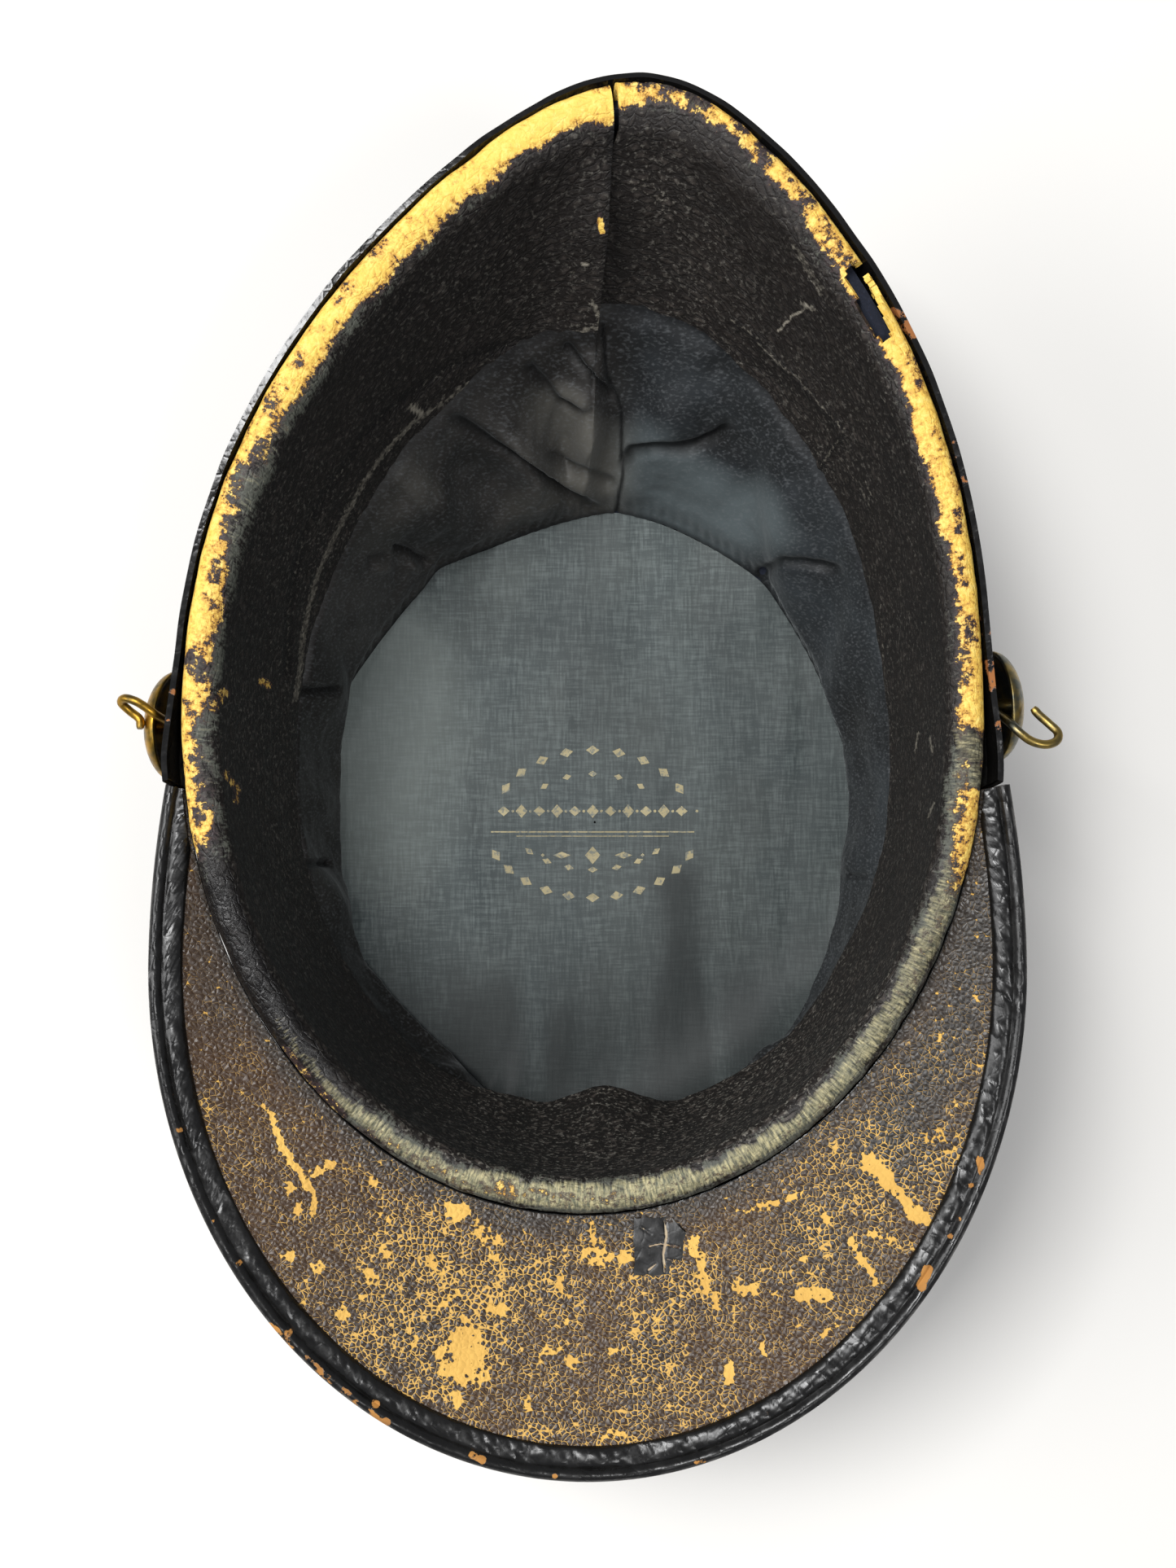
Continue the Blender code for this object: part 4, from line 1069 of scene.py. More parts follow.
def boss_shell(name, side, y):
    """A domed sheet brass boss: half a ball flattened, walled, with a rolled edge, and a post behind it."""
    middle, out, along, _ = boss_frame(side, y)
    bpy.ops.mesh.primitive_uv_sphere_add(segments=72, ring_count=36, radius=BOSS_RADIUS * MM, location=(0, 0, 0))
    shell = bpy.context.active_object
    shell.name = name
    bpy.ops.object.mode_set(mode="EDIT")
    bpy.ops.mesh.select_all(action="SELECT")
    bpy.ops.mesh.bisect(plane_co=(0, 0, 0), plane_no=(0, 0, 1), clear_inner=True, threshold=1e-6)
    bpy.ops.mesh.select_all(action="SELECT")
    bpy.ops.transform.resize(value=(1, 1, BOSS_DOME / BOSS_RADIUS), center_override=(0, 0, 0))
    bpy.ops.object.mode_set(mode="OBJECT")
    apply_modifier(shell, "SOLIDIFY", thickness=BOSS_WALL * MM, offset=-1.0, use_even_offset=True)
    apply_modifier(shell, "BEVEL", width=0.25 * MM, segments=3, limit_method="ANGLE", angle_limit=math.radians(50))
    top = BOSS_DOME - BOSS_WALL - 0.2
    reach = BOSS_STANDOFF - FIT_GAP + top
    bpy.ops.mesh.primitive_cylinder_add(
        vertices=32, radius=POST_RADIUS * MM, depth=reach * MM, location=(0, 0, (top - reach / 2) * MM)
    )
    shell.select_set(True)
    bpy.context.view_layer.objects.active = shell
    bpy.ops.object.join()
    turn = Matrix((along, out.cross(along), out)).transposed().to_4x4()
    shell.matrix_world = Matrix.Translation(middle * MM) @ turn
    settle(shell)
    shade(shell, 40)
    return shell


def through(points, steps):
    """Points along one smooth curve that passes through the given ones."""
    ends = [points[0] * 2 - points[1], *points, points[-1] * 2 - points[-2]]
    curve = []
    for k in range(1, len(ends) - 2):
        a, b, c, d = ends[k - 1 : k + 3]
        for step in range(steps):
            t = step / steps
            cube = (b * 3 - a - c * 3 + d) * t**3
            curve.append((b * 2 + (c - a) * t + (a * 2 - b * 5 + c * 4 - d) * t**2 + cube) / 2)
    curve.append(points[-1])
    return curve


def wire(name, points, radius, taper):
    """A round wire along points in mm, as a mesh, with its radius at each point as a share of the whole one."""
    bpy.ops.curve.primitive_nurbs_path_add(location=(0, 0, 0))
    thing = bpy.context.active_object
    thing.name = name
    curve = thing.data
    curve.splines.clear()
    spline = curve.splines.new("POLY")
    spline.points.add(len(points) - 1)
    for point, place, share in zip(spline.points, points, taper):
        point.co = (*(place * MM), 1.0)
        point.radius = share
    curve.dimensions = "3D"
    curve.bevel_depth = radius * MM
    curve.bevel_resolution = 6
    curve.use_fill_caps = True
    select_only(thing)
    bpy.ops.object.convert(target="MESH")
    thing = bpy.context.active_object
    weld(thing, 0.001)
    shade(thing, 50)
    return thing


def boss_hook(name, side, y, table):
    """The brass wire hook soldered to a boss's post: a stem past the boss's edge and an open curl outside it."""
    middle, out, along, up = boss_frame(side, y)
    rough = [middle + out * a + along * b + up * c for a, b, c in table]
    points = through(rough, 8)
    taper = [1.0] * (len(points) - 4) + [0.96, 0.9, 0.82, 0.7]
    return wire(name, points, WIRE_RADIUS, taper)


# Finishes


RGBA = dict(data_type="RGBA")
MULTIPLY = dict(operation="MULTIPLY")
MULTIPLY_ADD = dict(operation="MULTIPLY_ADD")
MAXIMUM = dict(operation="MAXIMUM")
TO_CELL_EDGE = dict(feature="DISTANCE_TO_EDGE")
WAVE_REPEAT = TURN / 10  # a wave texture's diagonal bands, along each axis, at a scale of one


def per_mm(size):
    """The scale of a pattern whose repeat is that many mm, on coordinates in metres."""
    return 1 / (size * MM)


def sweat_leather():
    """Vegetable-tanned sheepskin, dyed black and worn back to its yellow tan where the rim was handled.

    The eye sees matt brown-black leather with pale scuffs and flesh fibres, a fuzzy grey-green edge and a
    bright tan roll with dark flecks of the old dye. Glints on the grain's crests, shade in the creases and the
    flap's shadow are painted in.
    """
    material, tree, shader = new_finish("worn_sheepskin_dyed_black", Roughness=0.6, Specular_IOR_Level=0.35)
    at, uv = add(tree, "TexCoord", 3), add(tree, "TexCoord", 2)
    worn, pale, fuzz, scuffed, marked, painted_shade, polished = [
        add(tree, "Attribute", 2, dict(attribute_name=name))
        for name in ("worn", "pale", "fuzz", "scuffed", "marked", "painted_shade", "polished")
    ]
    broad, flecks, fine = [
        add(tree, "TexNoise", Vector=at, Scale=per_mm(size), Detail=detail, Roughness=rough)
        for size, detail, rough in ((9, 3.0, 0.6), (1.6, 6.0, 0.75), (0.9, 3.0, 0.6))
    ]
    # a grain under 1 mm wide, drawn 2.6 by 1.5 mm so that it shows
    sway = add(tree, "TexNoise", 1, Vector=uv, Scale=per_mm(4))
    wrinkled = add(tree, "VectorMath", 0, MULTIPLY_ADD, _0=sway, _1=(3.0 * MM,) * 3, _2=uv)
    wrinkled = add(tree, "Mapping", Vector=wrinkled, Scale=(per_mm(2.6), per_mm(1.5), 1.0))
    grain = add(tree, "TexVoronoi", 0, TO_CELL_EDGE, Vector=wrinkled, Scale=1.0)
    # flesh fibres, drawn 0.5 mm wide so that they show
    combed = add(tree, "Mapping", Vector=uv, Scale=(per_mm(0.5), per_mm(2.8), 1.0))
    fibres = add(tree, "TexNoise", Vector=combed, Scale=1.0, Detail=3.0, Roughness=0.6)

    # painted glints on the grain's crests, stronger where the leather is scuffed
    crest_glints = add(tree, "Math", 0, MULTIPLY, _0=grain, _1=flecks)
    crest_glints = add(tree, "MapRange", Value=crest_glints, From_Min=0.07, From_Max=0.24)
    crest_glints = add(tree, "Math", 0, MULTIPLY, _0=crest_glints, _1=scuffed)
    fibre = add(tree, "MapRange", Value=fine, From_Min=0.55, From_Max=0.75, To_Max=0.8)
    fibre = add(tree, "Math", 0, MULTIPLY, _0=fibre, _1=scuffed)
    smoothed = add(tree, "Math", 0, MULTIPLY, _0=polished, _1=0.8)
    # painted shade along the creases and the flap's shadow
    painted_shade_share = add(tree, "Math", 0, MULTIPLY, _0=painted_shade, _1=0.9)
    marked = add(tree, "Math", 0, MULTIPLY_ADD, _0=fine, _1=0.9, _2=marked)
    marked = add(tree, "MapRange", Value=marked, From_Min=0.86, From_Max=1.3, To_Max=0.75)

    fuzz_at, pale_at, worn_at = [
        add(tree, "Math", 0, MULTIPLY_ADD, _0=flecks, _1=with_flecks, _2=field)
        for field, with_flecks in ((fuzz, 1.2), (pale, 0.5), (worn, 1.5))
    ]
    fuzz_at, pale_at, worn_at = [
        add(tree, "Math", 0, MULTIPLY_ADD, _0=fibres, _1=with_fibres, _2=field)
        for field, with_fibres in ((fuzz_at, 0.7), (pale_at, 0.7), (worn_at, 0.4))
    ]
    fuzz_share = add(tree, "MapRange", Value=fuzz_at, From_Min=1.3, From_Max=1.46, To_Max=0.9)
    pale_share = add(tree, "MapRange", Value=pale_at, From_Min=0.95, From_Max=1.4)
    plum_share = add(tree, "MapRange", Value=worn_at, From_Min=1.22, From_Max=1.36, To_Max=0.85)
    worn_share = add(tree, "MapRange", Value=worn_at, From_Min=1.44, From_Max=1.5)
    strand = add(tree, "MapRange", Value=fibres, From_Min=0.34, From_Max=0.66)
    deep = add(tree, "MapRange", Value=worn_at, From_Min=1.46, From_Max=1.72)
    thin = add(tree, "MapRange", Value=flecks, From_Min=0.5, From_Max=0.68, To_Max=0.8)

    black, grey, cream, tan = [
        add(tree, "Mix", 2, RGBA, _0=share, _6=low, _7=high)
        for share, low, high in (
            (broad, "#0D0A08", "#1E1916"), (fibres, "#20211F", "#6A6C61"), (strand, "#565A4A", "#B3A981"),
            (broad, "#D8AB4A", "#EAC65C"),
        )
    ]
    tan = add(tree, "Mix", 2, RGBA, _0=deep, _6="#A87431", _7=tan)
    tan = add(tree, "Mix", 2, RGBA, _0=thin, _6=tan, _7="#EED47C")
    colour = black
    for share, over in (
        (crest_glints, "#423C37"), (fibre, "#77736B"), (smoothed, "#0C0B0B"), (painted_shade_share, "#070505"), (marked, "#8D877A"),
        (fuzz_share, grey), (pale_share, cream), (plum_share, "#35292A"), (worn_share, tan),
    ):
        colour = add(tree, "Mix", 2, RGBA, _0=share, _6=colour, _7=over)
    tree.links.new(colour, shader.inputs["Base Color"])

    rough = add(tree, "MapRange", Value=flecks, From_Min=0.3, From_Max=0.7, To_Min=0.42, To_Max=0.75)
    rough = add(tree, "Math", 0, MULTIPLY_ADD, _0=polished, _1=-0.34, _2=rough)
    tree.links.new(rough, shader.inputs["Roughness"])
    furrow = add(tree, "MapRange", Value=grain, From_Max=0.16)
    relief = fine
    for pattern, height in ((furrow, 0.5), (worn_share, -0.5), (flecks, 0.8)):
        relief = add(tree, "Math", 0, MULTIPLY_ADD, _0=pattern, _1=height, _2=relief)
    tree.links.new(add(tree, "Bump", Strength=0.75, Distance=0.25 * MM, Height=relief), shader.inputs["Normal"])
    return material


def satin():
    """Black cotton satin, warp-faced and faded: charcoal with a broad, painted bluish sheen on its folds, and painted
    shade.
    """
    material, tree, shader = new_finish(
        "faded_black_cotton_satin", Roughness=0.5, Specular_IOR_Level=0.35,
        Sheen_Weight=0.3, Sheen_Roughness=0.35, Sheen_Tint="#9A9E9F",
    )
    at = add(tree, "TexCoord", 3)
    painted_shade, foot, painted_light_and_tone, lit_side_cast = [
        add(tree, "Attribute", 2, dict(attribute_name=name)) for name in ("painted_shade", "foot", "painted_light_and_tone", "lit_side_cast")
    ]
    broad = add(tree, "TexNoise", Vector=at, Scale=per_mm(14), Detail=3.0)
    fine = add(tree, "TexNoise", Vector=at, Scale=per_mm(0.8), Detail=2.0)
    # threads 0.25 mm apart, drawn 0.5 mm apart so that they show; their glints across the folds are painted in as pale
    # flecks
    floats = add(tree, "Mapping", Vector=at, Scale=(per_mm(1.1), per_mm(0.5), per_mm(0.9)))
    floats = add(tree, "TexNoise", Vector=floats, Scale=1.0, Detail=2.0)
    cloudy = add(tree, "MapRange", Value=broad, From_Min=0.35, From_Max=0.65)
    # painted sheen where light falls on the folds, painted shade where it does not
    painted_sheen = add(tree, "MapRange", Value=painted_light_and_tone, From_Max=1.1, To_Max=0.75)
    shaded = add(tree, "MapRange", Value=painted_light_and_tone, From_Max=-1.0, To_Max=0.85)
    # painted glints of the thread floats
    thread_glints = add(tree, "Math", 0, MULTIPLY_ADD, _0=fine, _1=0.5, _2=floats)
    thread_glints = add(tree, "MapRange", Value=thread_glints, From_Min=0.75, From_Max=1.1, To_Max=0.4)
    # painted shade in the fold valleys and along the seam
    painted_shade_share = add(tree, "Math", 0, MULTIPLY, _0=painted_shade, _1=0.85)
    # painted shade at the foot and behind the sweatband
    shaded_ends = add(tree, "Math", 0, MULTIPLY, _0=foot, _1=0.75)
    # lit and shaded copies of each colour: warm on the shaded left side, bluish on the lit right side
    colour, bright, sheen_colour = [
        add(tree, "Mix", 2, RGBA, _0=lit_side_cast, _6=warm, _7=bluish)
        for warm, bluish in (("#1F1D1B", "#1C1E20"), ("#343230", "#2C3033"), ("#6B6962", "#5C6567"))
    ]
    for share, over in (
        (cloudy, bright), (painted_sheen, sheen_colour), (shaded, "#141210"), (thread_glints, "#6E7173"), (painted_shade_share, "#090909"),
        (shaded_ends, "#101113"),
    ):
        colour = add(tree, "Mix", 2, RGBA, _0=share, _6=colour, _7=over)
    tree.links.new(colour, shader.inputs["Base Color"])
    relief = add(tree, "Math", 0, MULTIPLY_ADD, _0=floats, _1=0.8, _2=fine)
    tree.links.new(add(tree, "Bump", Strength=0.3, Distance=0.08 * MM, Height=relief), shader.inputs["Normal"])
    return material


def slate_cotton():
    """Glazed cotton in slate blue, plain woven: fine threads both ways, with darker streaks along the warp."""
    material, tree, shader = new_finish("glazed_slate_cotton", Roughness=0.62, Specular_IOR_Level=0.35)
    at = add(tree, "TexCoord", 3)
    stain_and_shade = add(tree, "Attribute", 2, dict(attribute_name="stain_and_shade"))
    # threads 0.3 mm apart each way, drawn 0.45 mm apart so that they show; the warp runs from front to back
    warp, weft = [
        add(tree, "TexNoise", Vector=add(tree, "Mapping", Vector=at, Scale=scale), Scale=1.0, Detail=1.0)
        for scale in ((per_mm(0.45), per_mm(4.5), per_mm(9)), (per_mm(4.5), per_mm(0.45), per_mm(9)))
    ]
    drawn = add(tree, "Mapping", Vector=at, Scale=(1.0, 0.12, 1.0))
    streaks, hairs, broad, fine = [
        add(tree, "TexNoise", Vector=where, Scale=per_mm(size), Detail=detail)
        for where, size, detail in ((drawn, 6, 4.0), (drawn, 0.6, 2.0), (at, 22, 3.0), (at, 0.5, 2.0))
    ]
    light = add(tree, "MapRange", Value=streaks, From_Min=0.3, From_Max=0.7)
    cloudy = add(tree, "MapRange", Value=broad, From_Min=0.35, From_Max=0.65, To_Max=0.5)
    # above 0 darker, as real stains and streaks and as painted shade near the wall; below 0 paler
    paler = add(tree, "MapRange", Value=stain_and_shade, From_Max=-0.4, To_Max=0.9)
    darker = add(tree, "Math", 0, MULTIPLY_ADD, _0=streaks, _1=0.5, _2=stain_and_shade)
    darker = add(tree, "MapRange", Value=darker, From_Min=0.25, From_Max=1.4, To_Max=0.85)
    thread = add(tree, "Math", 0, dict(operation="ADD"), _0=warp, _1=weft)
    for pattern, height in ((fine, 0.3), (hairs, 0.5)):
        thread = add(tree, "Math", 0, MULTIPLY_ADD, _0=pattern, _1=height, _2=thread)
    speck = add(tree, "MapRange", Value=thread, From_Min=1.25, From_Max=1.9, To_Max=0.42)
    colour = add(tree, "Mix", 2, RGBA, _0=light, _6="#333B3C", _7="#454D4D")
    for share, over in ((cloudy, "#4B504E"), (paler, "#666D6A"), (speck, "#7C8583"), (darker, "#1F2323")):
        colour = add(tree, "Mix", 2, RGBA, _0=share, _6=colour, _7=over)
    tree.links.new(colour, shader.inputs["Base Color"])
    tree.links.new(add(tree, "Bump", Strength=0.4, Distance=0.08 * MM, Height=thread), shader.inputs["Normal"])
    return material


def grained_leather():
    """Brown sheepskin with a printed grain, dried and crackled: pebbles 1 mm wide, tan lines between them.

    The eye sees plum-brown pebbles that glint, fine tan cracks where the visor bends most, and bare yellow
    patches, ragged along the pebbles, where the grain has been rubbed off. Shade is painted in near the cap
    and along the right side.
    """
    material, tree, shader = new_finish("grained_brown_sheepskin", Roughness=0.5, Specular_IOR_Level=0.35)
    at = add(tree, "TexCoord", 3)
    rubbed, crackled, dusk = [
        add(tree, "Attribute", 2, dict(attribute_name=name)) for name in ("rubbed", "crackled", "dusk")
    ]
    sway = add(tree, "TexNoise", 1, Vector=at, Scale=per_mm(3), Detail=2.0)
    swayed = add(tree, "VectorMath", 0, MULTIPLY_ADD, _0=sway, _1=(1.0 * MM,) * 3, _2=at)
    cracks, pebble = [
        add(tree, "TexVoronoi", 0, dict(feature=feature), Vector=swayed, Scale=per_mm(1.05))
        for feature in ("DISTANCE_TO_EDGE", "F1")
    ]
    broad = add(tree, "TexNoise", Vector=at, Scale=per_mm(11), Detail=3.0)
    flecks = add(tree, "TexNoise", Vector=at, Scale=per_mm(2.2), Detail=5.0, Roughness=0.65)
    cloudy = add(tree, "MapRange", Value=broad, From_Min=0.35, From_Max=0.65, To_Max=0.6)
    strong = add(tree, "MapRange", Value=flecks, From_Min=0.36, From_Max=0.66, To_Min=-0.01, To_Max=0.16)
    line = add(tree, "Math", 0, MULTIPLY, _0=crackled, _1=strong)
    line = add(tree, "Math", 0, dict(operation="SUBTRACT"), _0=line, _1=cracks)
    line = add(tree, "MapRange", Value=line, From_Min=-0.005, From_Max=0.025)
    bare = rubbed
    for pattern, height in ((flecks, 2.2), (pebble, 0.9)):
        bare = add(tree, "Math", 0, MULTIPLY_ADD, _0=pattern, _1=height, _2=bare)
    bare = add(tree, "MapRange", Value=bare, From_Min=2.06, From_Max=2.11)
    tan = add(tree, "Mix", 2, RGBA, _0=cloudy, _6="#C0964A", _7="#D9B05A")
    colour = add(tree, "Mix", 2, RGBA, _0=crackled, _6="#3A2716", _7="#2A2119")
    # dusk is painted shade
    for share, over in ((cloudy, "#3C2C1D"), (dusk, "#1F2222"), (line, "#C29A50"), (bare, tan)):
        colour = add(tree, "Mix", 2, RGBA, _0=share, _6=colour, _7=over)
    tree.links.new(colour, shader.inputs["Base Color"])
    rough = add(tree, "MapRange", Value=line, To_Min=0.36, To_Max=0.75)
    matt = add(tree, "Math", 0, MULTIPLY, _0=bare, _1=0.8)
    tree.links.new(add(tree, "Math", 0, MAXIMUM, _0=rough, _1=matt), shader.inputs["Roughness"])
    relief = cracks
    for pattern, height in ((pebble, -0.8), (bare, -0.5)):
        relief = add(tree, "Math", 0, MULTIPLY_ADD, _0=pattern, _1=height, _2=relief)
    tree.links.new(add(tree, "Bump", Strength=0.8, Distance=0.27 * MM, Height=relief), shader.inputs["Normal"])
    return material


def patent_leather(name, chips="#C98F42", gloss=(0.1, 0.28)):
    """Leather under baked black varnish: mirror-like where whole, crazed with age, tan where it has chipped off."""
    material, tree, shader = new_finish(name, Roughness=0.18, Specular_IOR_Level=0.4)
    at = add(tree, "TexCoord", 3)
    chipped = add(tree, "Attribute", 2, dict(attribute_name="chipped"))
    flecks, crazing, broad = [
        add(tree, "TexNoise", Vector=at, Scale=per_mm(size), Detail=detail, Roughness=rough)
        for size, detail, rough in ((2.4, 5.0, 0.6), (2.0, 2.0, 0.5), (8, 2.0, 0.5))
    ]
    cells = add(tree, "TexVoronoi", 0, TO_CELL_EDGE, Vector=at, Scale=per_mm(2.6))
    chip = add(tree, "Math", 0, dict(operation="ADD"), _0=flecks, _1=chipped)
    chip = add(tree, "MapRange", Value=chip, From_Min=0.98, From_Max=1.03)
    colour = add(tree, "Mix", 2, RGBA, _0=broad, _6="#060606", _7="#141312")
    bare = add(tree, "Mix", 2, RGBA, _0=broad, _6="#6B4424", _7=chips)
    tree.links.new(add(tree, "Mix", 2, RGBA, _0=chip, _6=colour, _7=bare), shader.inputs["Base Color"])
    rough = add(tree, "MapRange", Value=crazing, From_Min=0.3, From_Max=0.75, To_Min=gloss[0], To_Max=gloss[1])
    matt = add(tree, "Math", 0, MULTIPLY, _0=chip, _1=0.8)
    tree.links.new(add(tree, "Math", 0, MAXIMUM, _0=rough, _1=matt), shader.inputs["Roughness"])
    relief = crazing
    for pattern, height in ((add(tree, "MapRange", Value=cells, From_Max=0.12), 0.2), (chip, -0.6)):
        relief = add(tree, "Math", 0, MULTIPLY_ADD, _0=pattern, _1=height, _2=relief)
    tree.links.new(add(tree, "Bump", Strength=0.35, Distance=0.25 * MM, Height=relief), shader.inputs["Normal"])
    return material


def navy_wool():
    """Navy broadcloth, fulled so that its weave hardly shows: matt, with a short nap that lightens its edges."""
    material, tree, shader = new_finish(
        "navy_broadcloth", Roughness=0.9, Specular_IOR_Level=0.2,
        Sheen_Weight=0.35, Sheen_Roughness=0.5, Sheen_Tint="#7F88A0",
    )
    at = add(tree, "TexCoord", 3)
    broad = add(tree, "TexNoise", Vector=at, Scale=per_mm(18), Detail=3.0)
    nap = add(tree, "TexNoise", Vector=at, Scale=per_mm(0.8), Detail=4.0, Roughness=0.7)
    # twill lines under 1 mm apart, drawn 4.3 mm apart along each axis so that they show
    twill = add(
        tree, "TexWave", 1, dict(bands_direction="DIAGONAL"), Vector=at, Scale=WAVE_REPEAT * per_mm(4.34),
        Distortion=2.5, Detail=2.0,
    )
    tips = add(tree, "MapRange", Value=nap, From_Min=0.5, From_Max=0.85, To_Max=0.4)
    colour = add(tree, "Mix", 2, RGBA, _0=broad, _6="#151822", _7="#20242F")
    tree.links.new(add(tree, "Mix", 2, RGBA, _0=tips, _6=colour, _7="#3A4052"), shader.inputs["Base Color"])
    relief = add(tree, "Math", 0, MULTIPLY_ADD, _0=twill, _1=0.3, _2=nap)
    tree.links.new(add(tree, "Bump", Strength=0.5, Distance=0.15 * MM, Height=relief), shader.inputs["Normal"])
    return material


def aged_brass(name, dull, bright):
    """Sheet and wire brass, once gilt: golden where rubbed, olive to grey where it has tarnished."""
    material, tree, shader = new_finish(name, Metallic=1.0, Roughness=0.35)
    at = add(tree, "TexCoord", 3)
    broad = add(tree, "TexNoise", Vector=at, Scale=per_mm(4), Detail=4.0)
    fine = add(tree, "TexNoise", Vector=at, Scale=per_mm(0.6), Detail=3.0)
    share = add(tree, "MapRange", Value=broad, From_Min=0.4, From_Max=0.62)
    tree.links.new(add(tree, "Mix", 2, RGBA, _0=share, _6=dull, _7=bright), shader.inputs["Base Color"])
    rough = add(tree, "MapRange", Value=fine, From_Min=0.3, From_Max=0.7, To_Min=0.28, To_Max=0.5)
    tree.links.new(rough, shader.inputs["Roughness"])
    tree.links.new(add(tree, "Bump", Strength=0.15, Distance=0.05 * MM, Height=fine), shader.inputs["Normal"])
    return material


def worn_gold_leaf():
    """Gold leaf pressed into cloth and mostly rubbed away: dull gold flecks with the slate threads showing through."""
    material, tree, shader = new_finish("worn_gold_leaf", Metallic=0.35, Roughness=0.5)
    at = add(tree, "TexCoord", 3)
    rubbing = add(tree, "TexNoise", Vector=at, Scale=per_mm(1.1), Detail=4.0, Roughness=0.7)
    broad = add(tree, "TexNoise", Vector=at, Scale=per_mm(9), Detail=2.0)
    gold = add(tree, "Mix", 2, RGBA, _0=broad, _6="#746D55", _7="#A0946F")
    share = add(tree, "MapRange", Value=rubbing, From_Min=0.5, From_Max=0.6, To_Max=0.8)
    tree.links.new(add(tree, "Mix", 2, RGBA, _0=share, _6=gold, _7="#545B5A"), shader.inputs["Base Color"])
    return material


# The cap


def places_of(thing):
    """A piece's vertices as points in mm."""
    co = np.zeros(len(thing.data.vertices) * 3)
    thing.data.vertices.foreach_get("co", co)
    return co.reshape(-1, 3) / MM


def paint(thing, **fields):
    """Sets named fields on a piece's vertices."""
    for name, values in fields.items():
        thing.data.attributes.new(name, "FLOAT", "POINT").data.foreach_set("value", values.astype(np.float32))


def read(thing, field):
    """A named field of a piece as an array."""
    values = np.zeros(len(thing.data.vertices), np.float32)
    thing.data.attributes[field].data.foreach_get("value", values)
    return values


WEAR_TABLE = (
    # (bearing in degrees, tan from 0 to 1, its outer and inner edges in mm across, pale from 0 to 1, its inner edge)
    (0, 0.4, 0.0, 7.6, 0.5, 10.0),
    (3, 0.74, 0.0, 7.8, 0.35, 10.5),
    (20, 0.8, 0.0, 8.0, 0.35, 10.5),
    (45, 0.8, 0.0, 8.2, 0.35, 10.8),
    (60, 0.78, 0.0, 8.6, 0.3, 10.5),
    (75, 0.66, 0.0, 8.2, 0.4, 10.0),
    (90, 0.68, 0.0, 8.2, 0.4, 10.0),
    (97, 0.84, 0.0, 9.4, 0.3, 12.0),
    (125, 0.82, 0.0, 9.2, 0.3, 13.0),
    (150, 0.74, 0.0, 8.6, 0.35, 14.0),
    (175, 0.72, 0.0, 8.2, 0.35, 14.0),
    (190, 0.72, 0.0, 7.8, 0.3, 13.0),
    (197, 0.1, 4.4, 6.6, 0.05, 8.0),
    (210, 0.1, 4.8, 6.4, 0.15, 7.4),
    (222, 0.15, 4.4, 6.6, 0.42, 8.0),
    (240, 0.3, 4.0, 6.8, 0.7, 8.6),
    (255, 0.36, 3.8, 6.8, 0.8, 9.0),
    (275, 0.3, 3.8, 6.8, 0.8, 9.0),
    (300, 0.2, 4.0, 6.8, 0.7, 8.6),
    (325, 0.2, 4.0, 6.8, 0.6, 8.8),
    (340, 0.35, 3.0, 7.0, 0.6, 9.5),
    (348, 0.66, 1.0, 7.8, 0.5, 10.0),
    (353, 0.55, 0.0, 7.8, 0.5, 10.0),
    (360, 0.4, 0.0, 7.6, 0.5, 10.0),
)
FRAY = 2.1
FUZZ_WIDTH = 3.0


def wear_off(band):
    """Sets how the sweatband is worn, from its bearing and the way across it from the rim's outer side."""
    across, bearing = read(band, "across"), read(band, "bearing")
    tan, outer, inner, pale, pale_inner = [from_table(WEAR_TABLE, column, bearing) for column in range(1, 6)]
    run = bearing * MM_PER_DEGREE
    wander = 1.3 * noise(run, 0 * across, 9, 13) + 0.7 * noise(run, across, 2.6, 14)
    inside = 1 - smooth(inner - FRAY, inner + FRAY, across + wander)
    outside = smooth(outer - FRAY, outer + 0.5, across)
    patchy = 0.1 * noise(run, across, 7, 15) + 0.09 * noise(run, across, 2.2, 1)
    worn = (tan + patchy) * inside * outside - 0.42 * read(band, "fleck")
    worn = np.maximum(worn, 0.85 * read(band, "tan"))
    worn = np.maximum(worn, 0.9 * read(band, "torn") * (across < inner + 3))
    fade = 1 - smooth(inner - 0.5, pale_inner, across + wander)
    fuzzy = 1 - smooth(inner, pale_inner + FUZZ_WIDTH, across + wander)
    bare = smooth(190, 200, bearing) * (1 - smooth(215, 240, bearing))
    tufts = 0.22 * noise(run, across, 3.5, 7)
    front = smooth(225, 250, bearing) * (1 - smooth(310, 340, bearing))
    x, y, z = places_of(band).T
    paint(
        band,
        worn=worn,
        pale=pale * fade * smooth(outer - 2.5, outer + 0.5, across),
        fuzz=(0.22 + 0.25 * smooth(100, 150, bearing) - 0.5 * bare + tufts) * fuzzy,
        polished=bare * smooth(0.5, 2.5, across) * (1 - smooth(8.5, 10.5, across)),
        # how strongly the flesh fibres and the painted grain glints show
        scuffed=0.58 + 0.3 * noise(x + z, y, 20, 13) + 0.95 * front,
    )


sweatband = sweatband_leather()
wear_off(sweatband)
wear(sweatband, sweat_leather())
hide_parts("sweatband")

lining = satin_lining()
wear(lining, satin())
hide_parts("lining_side")

oval = crown_oval()
wear(oval, slate_cotton())
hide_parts("lining_tip")

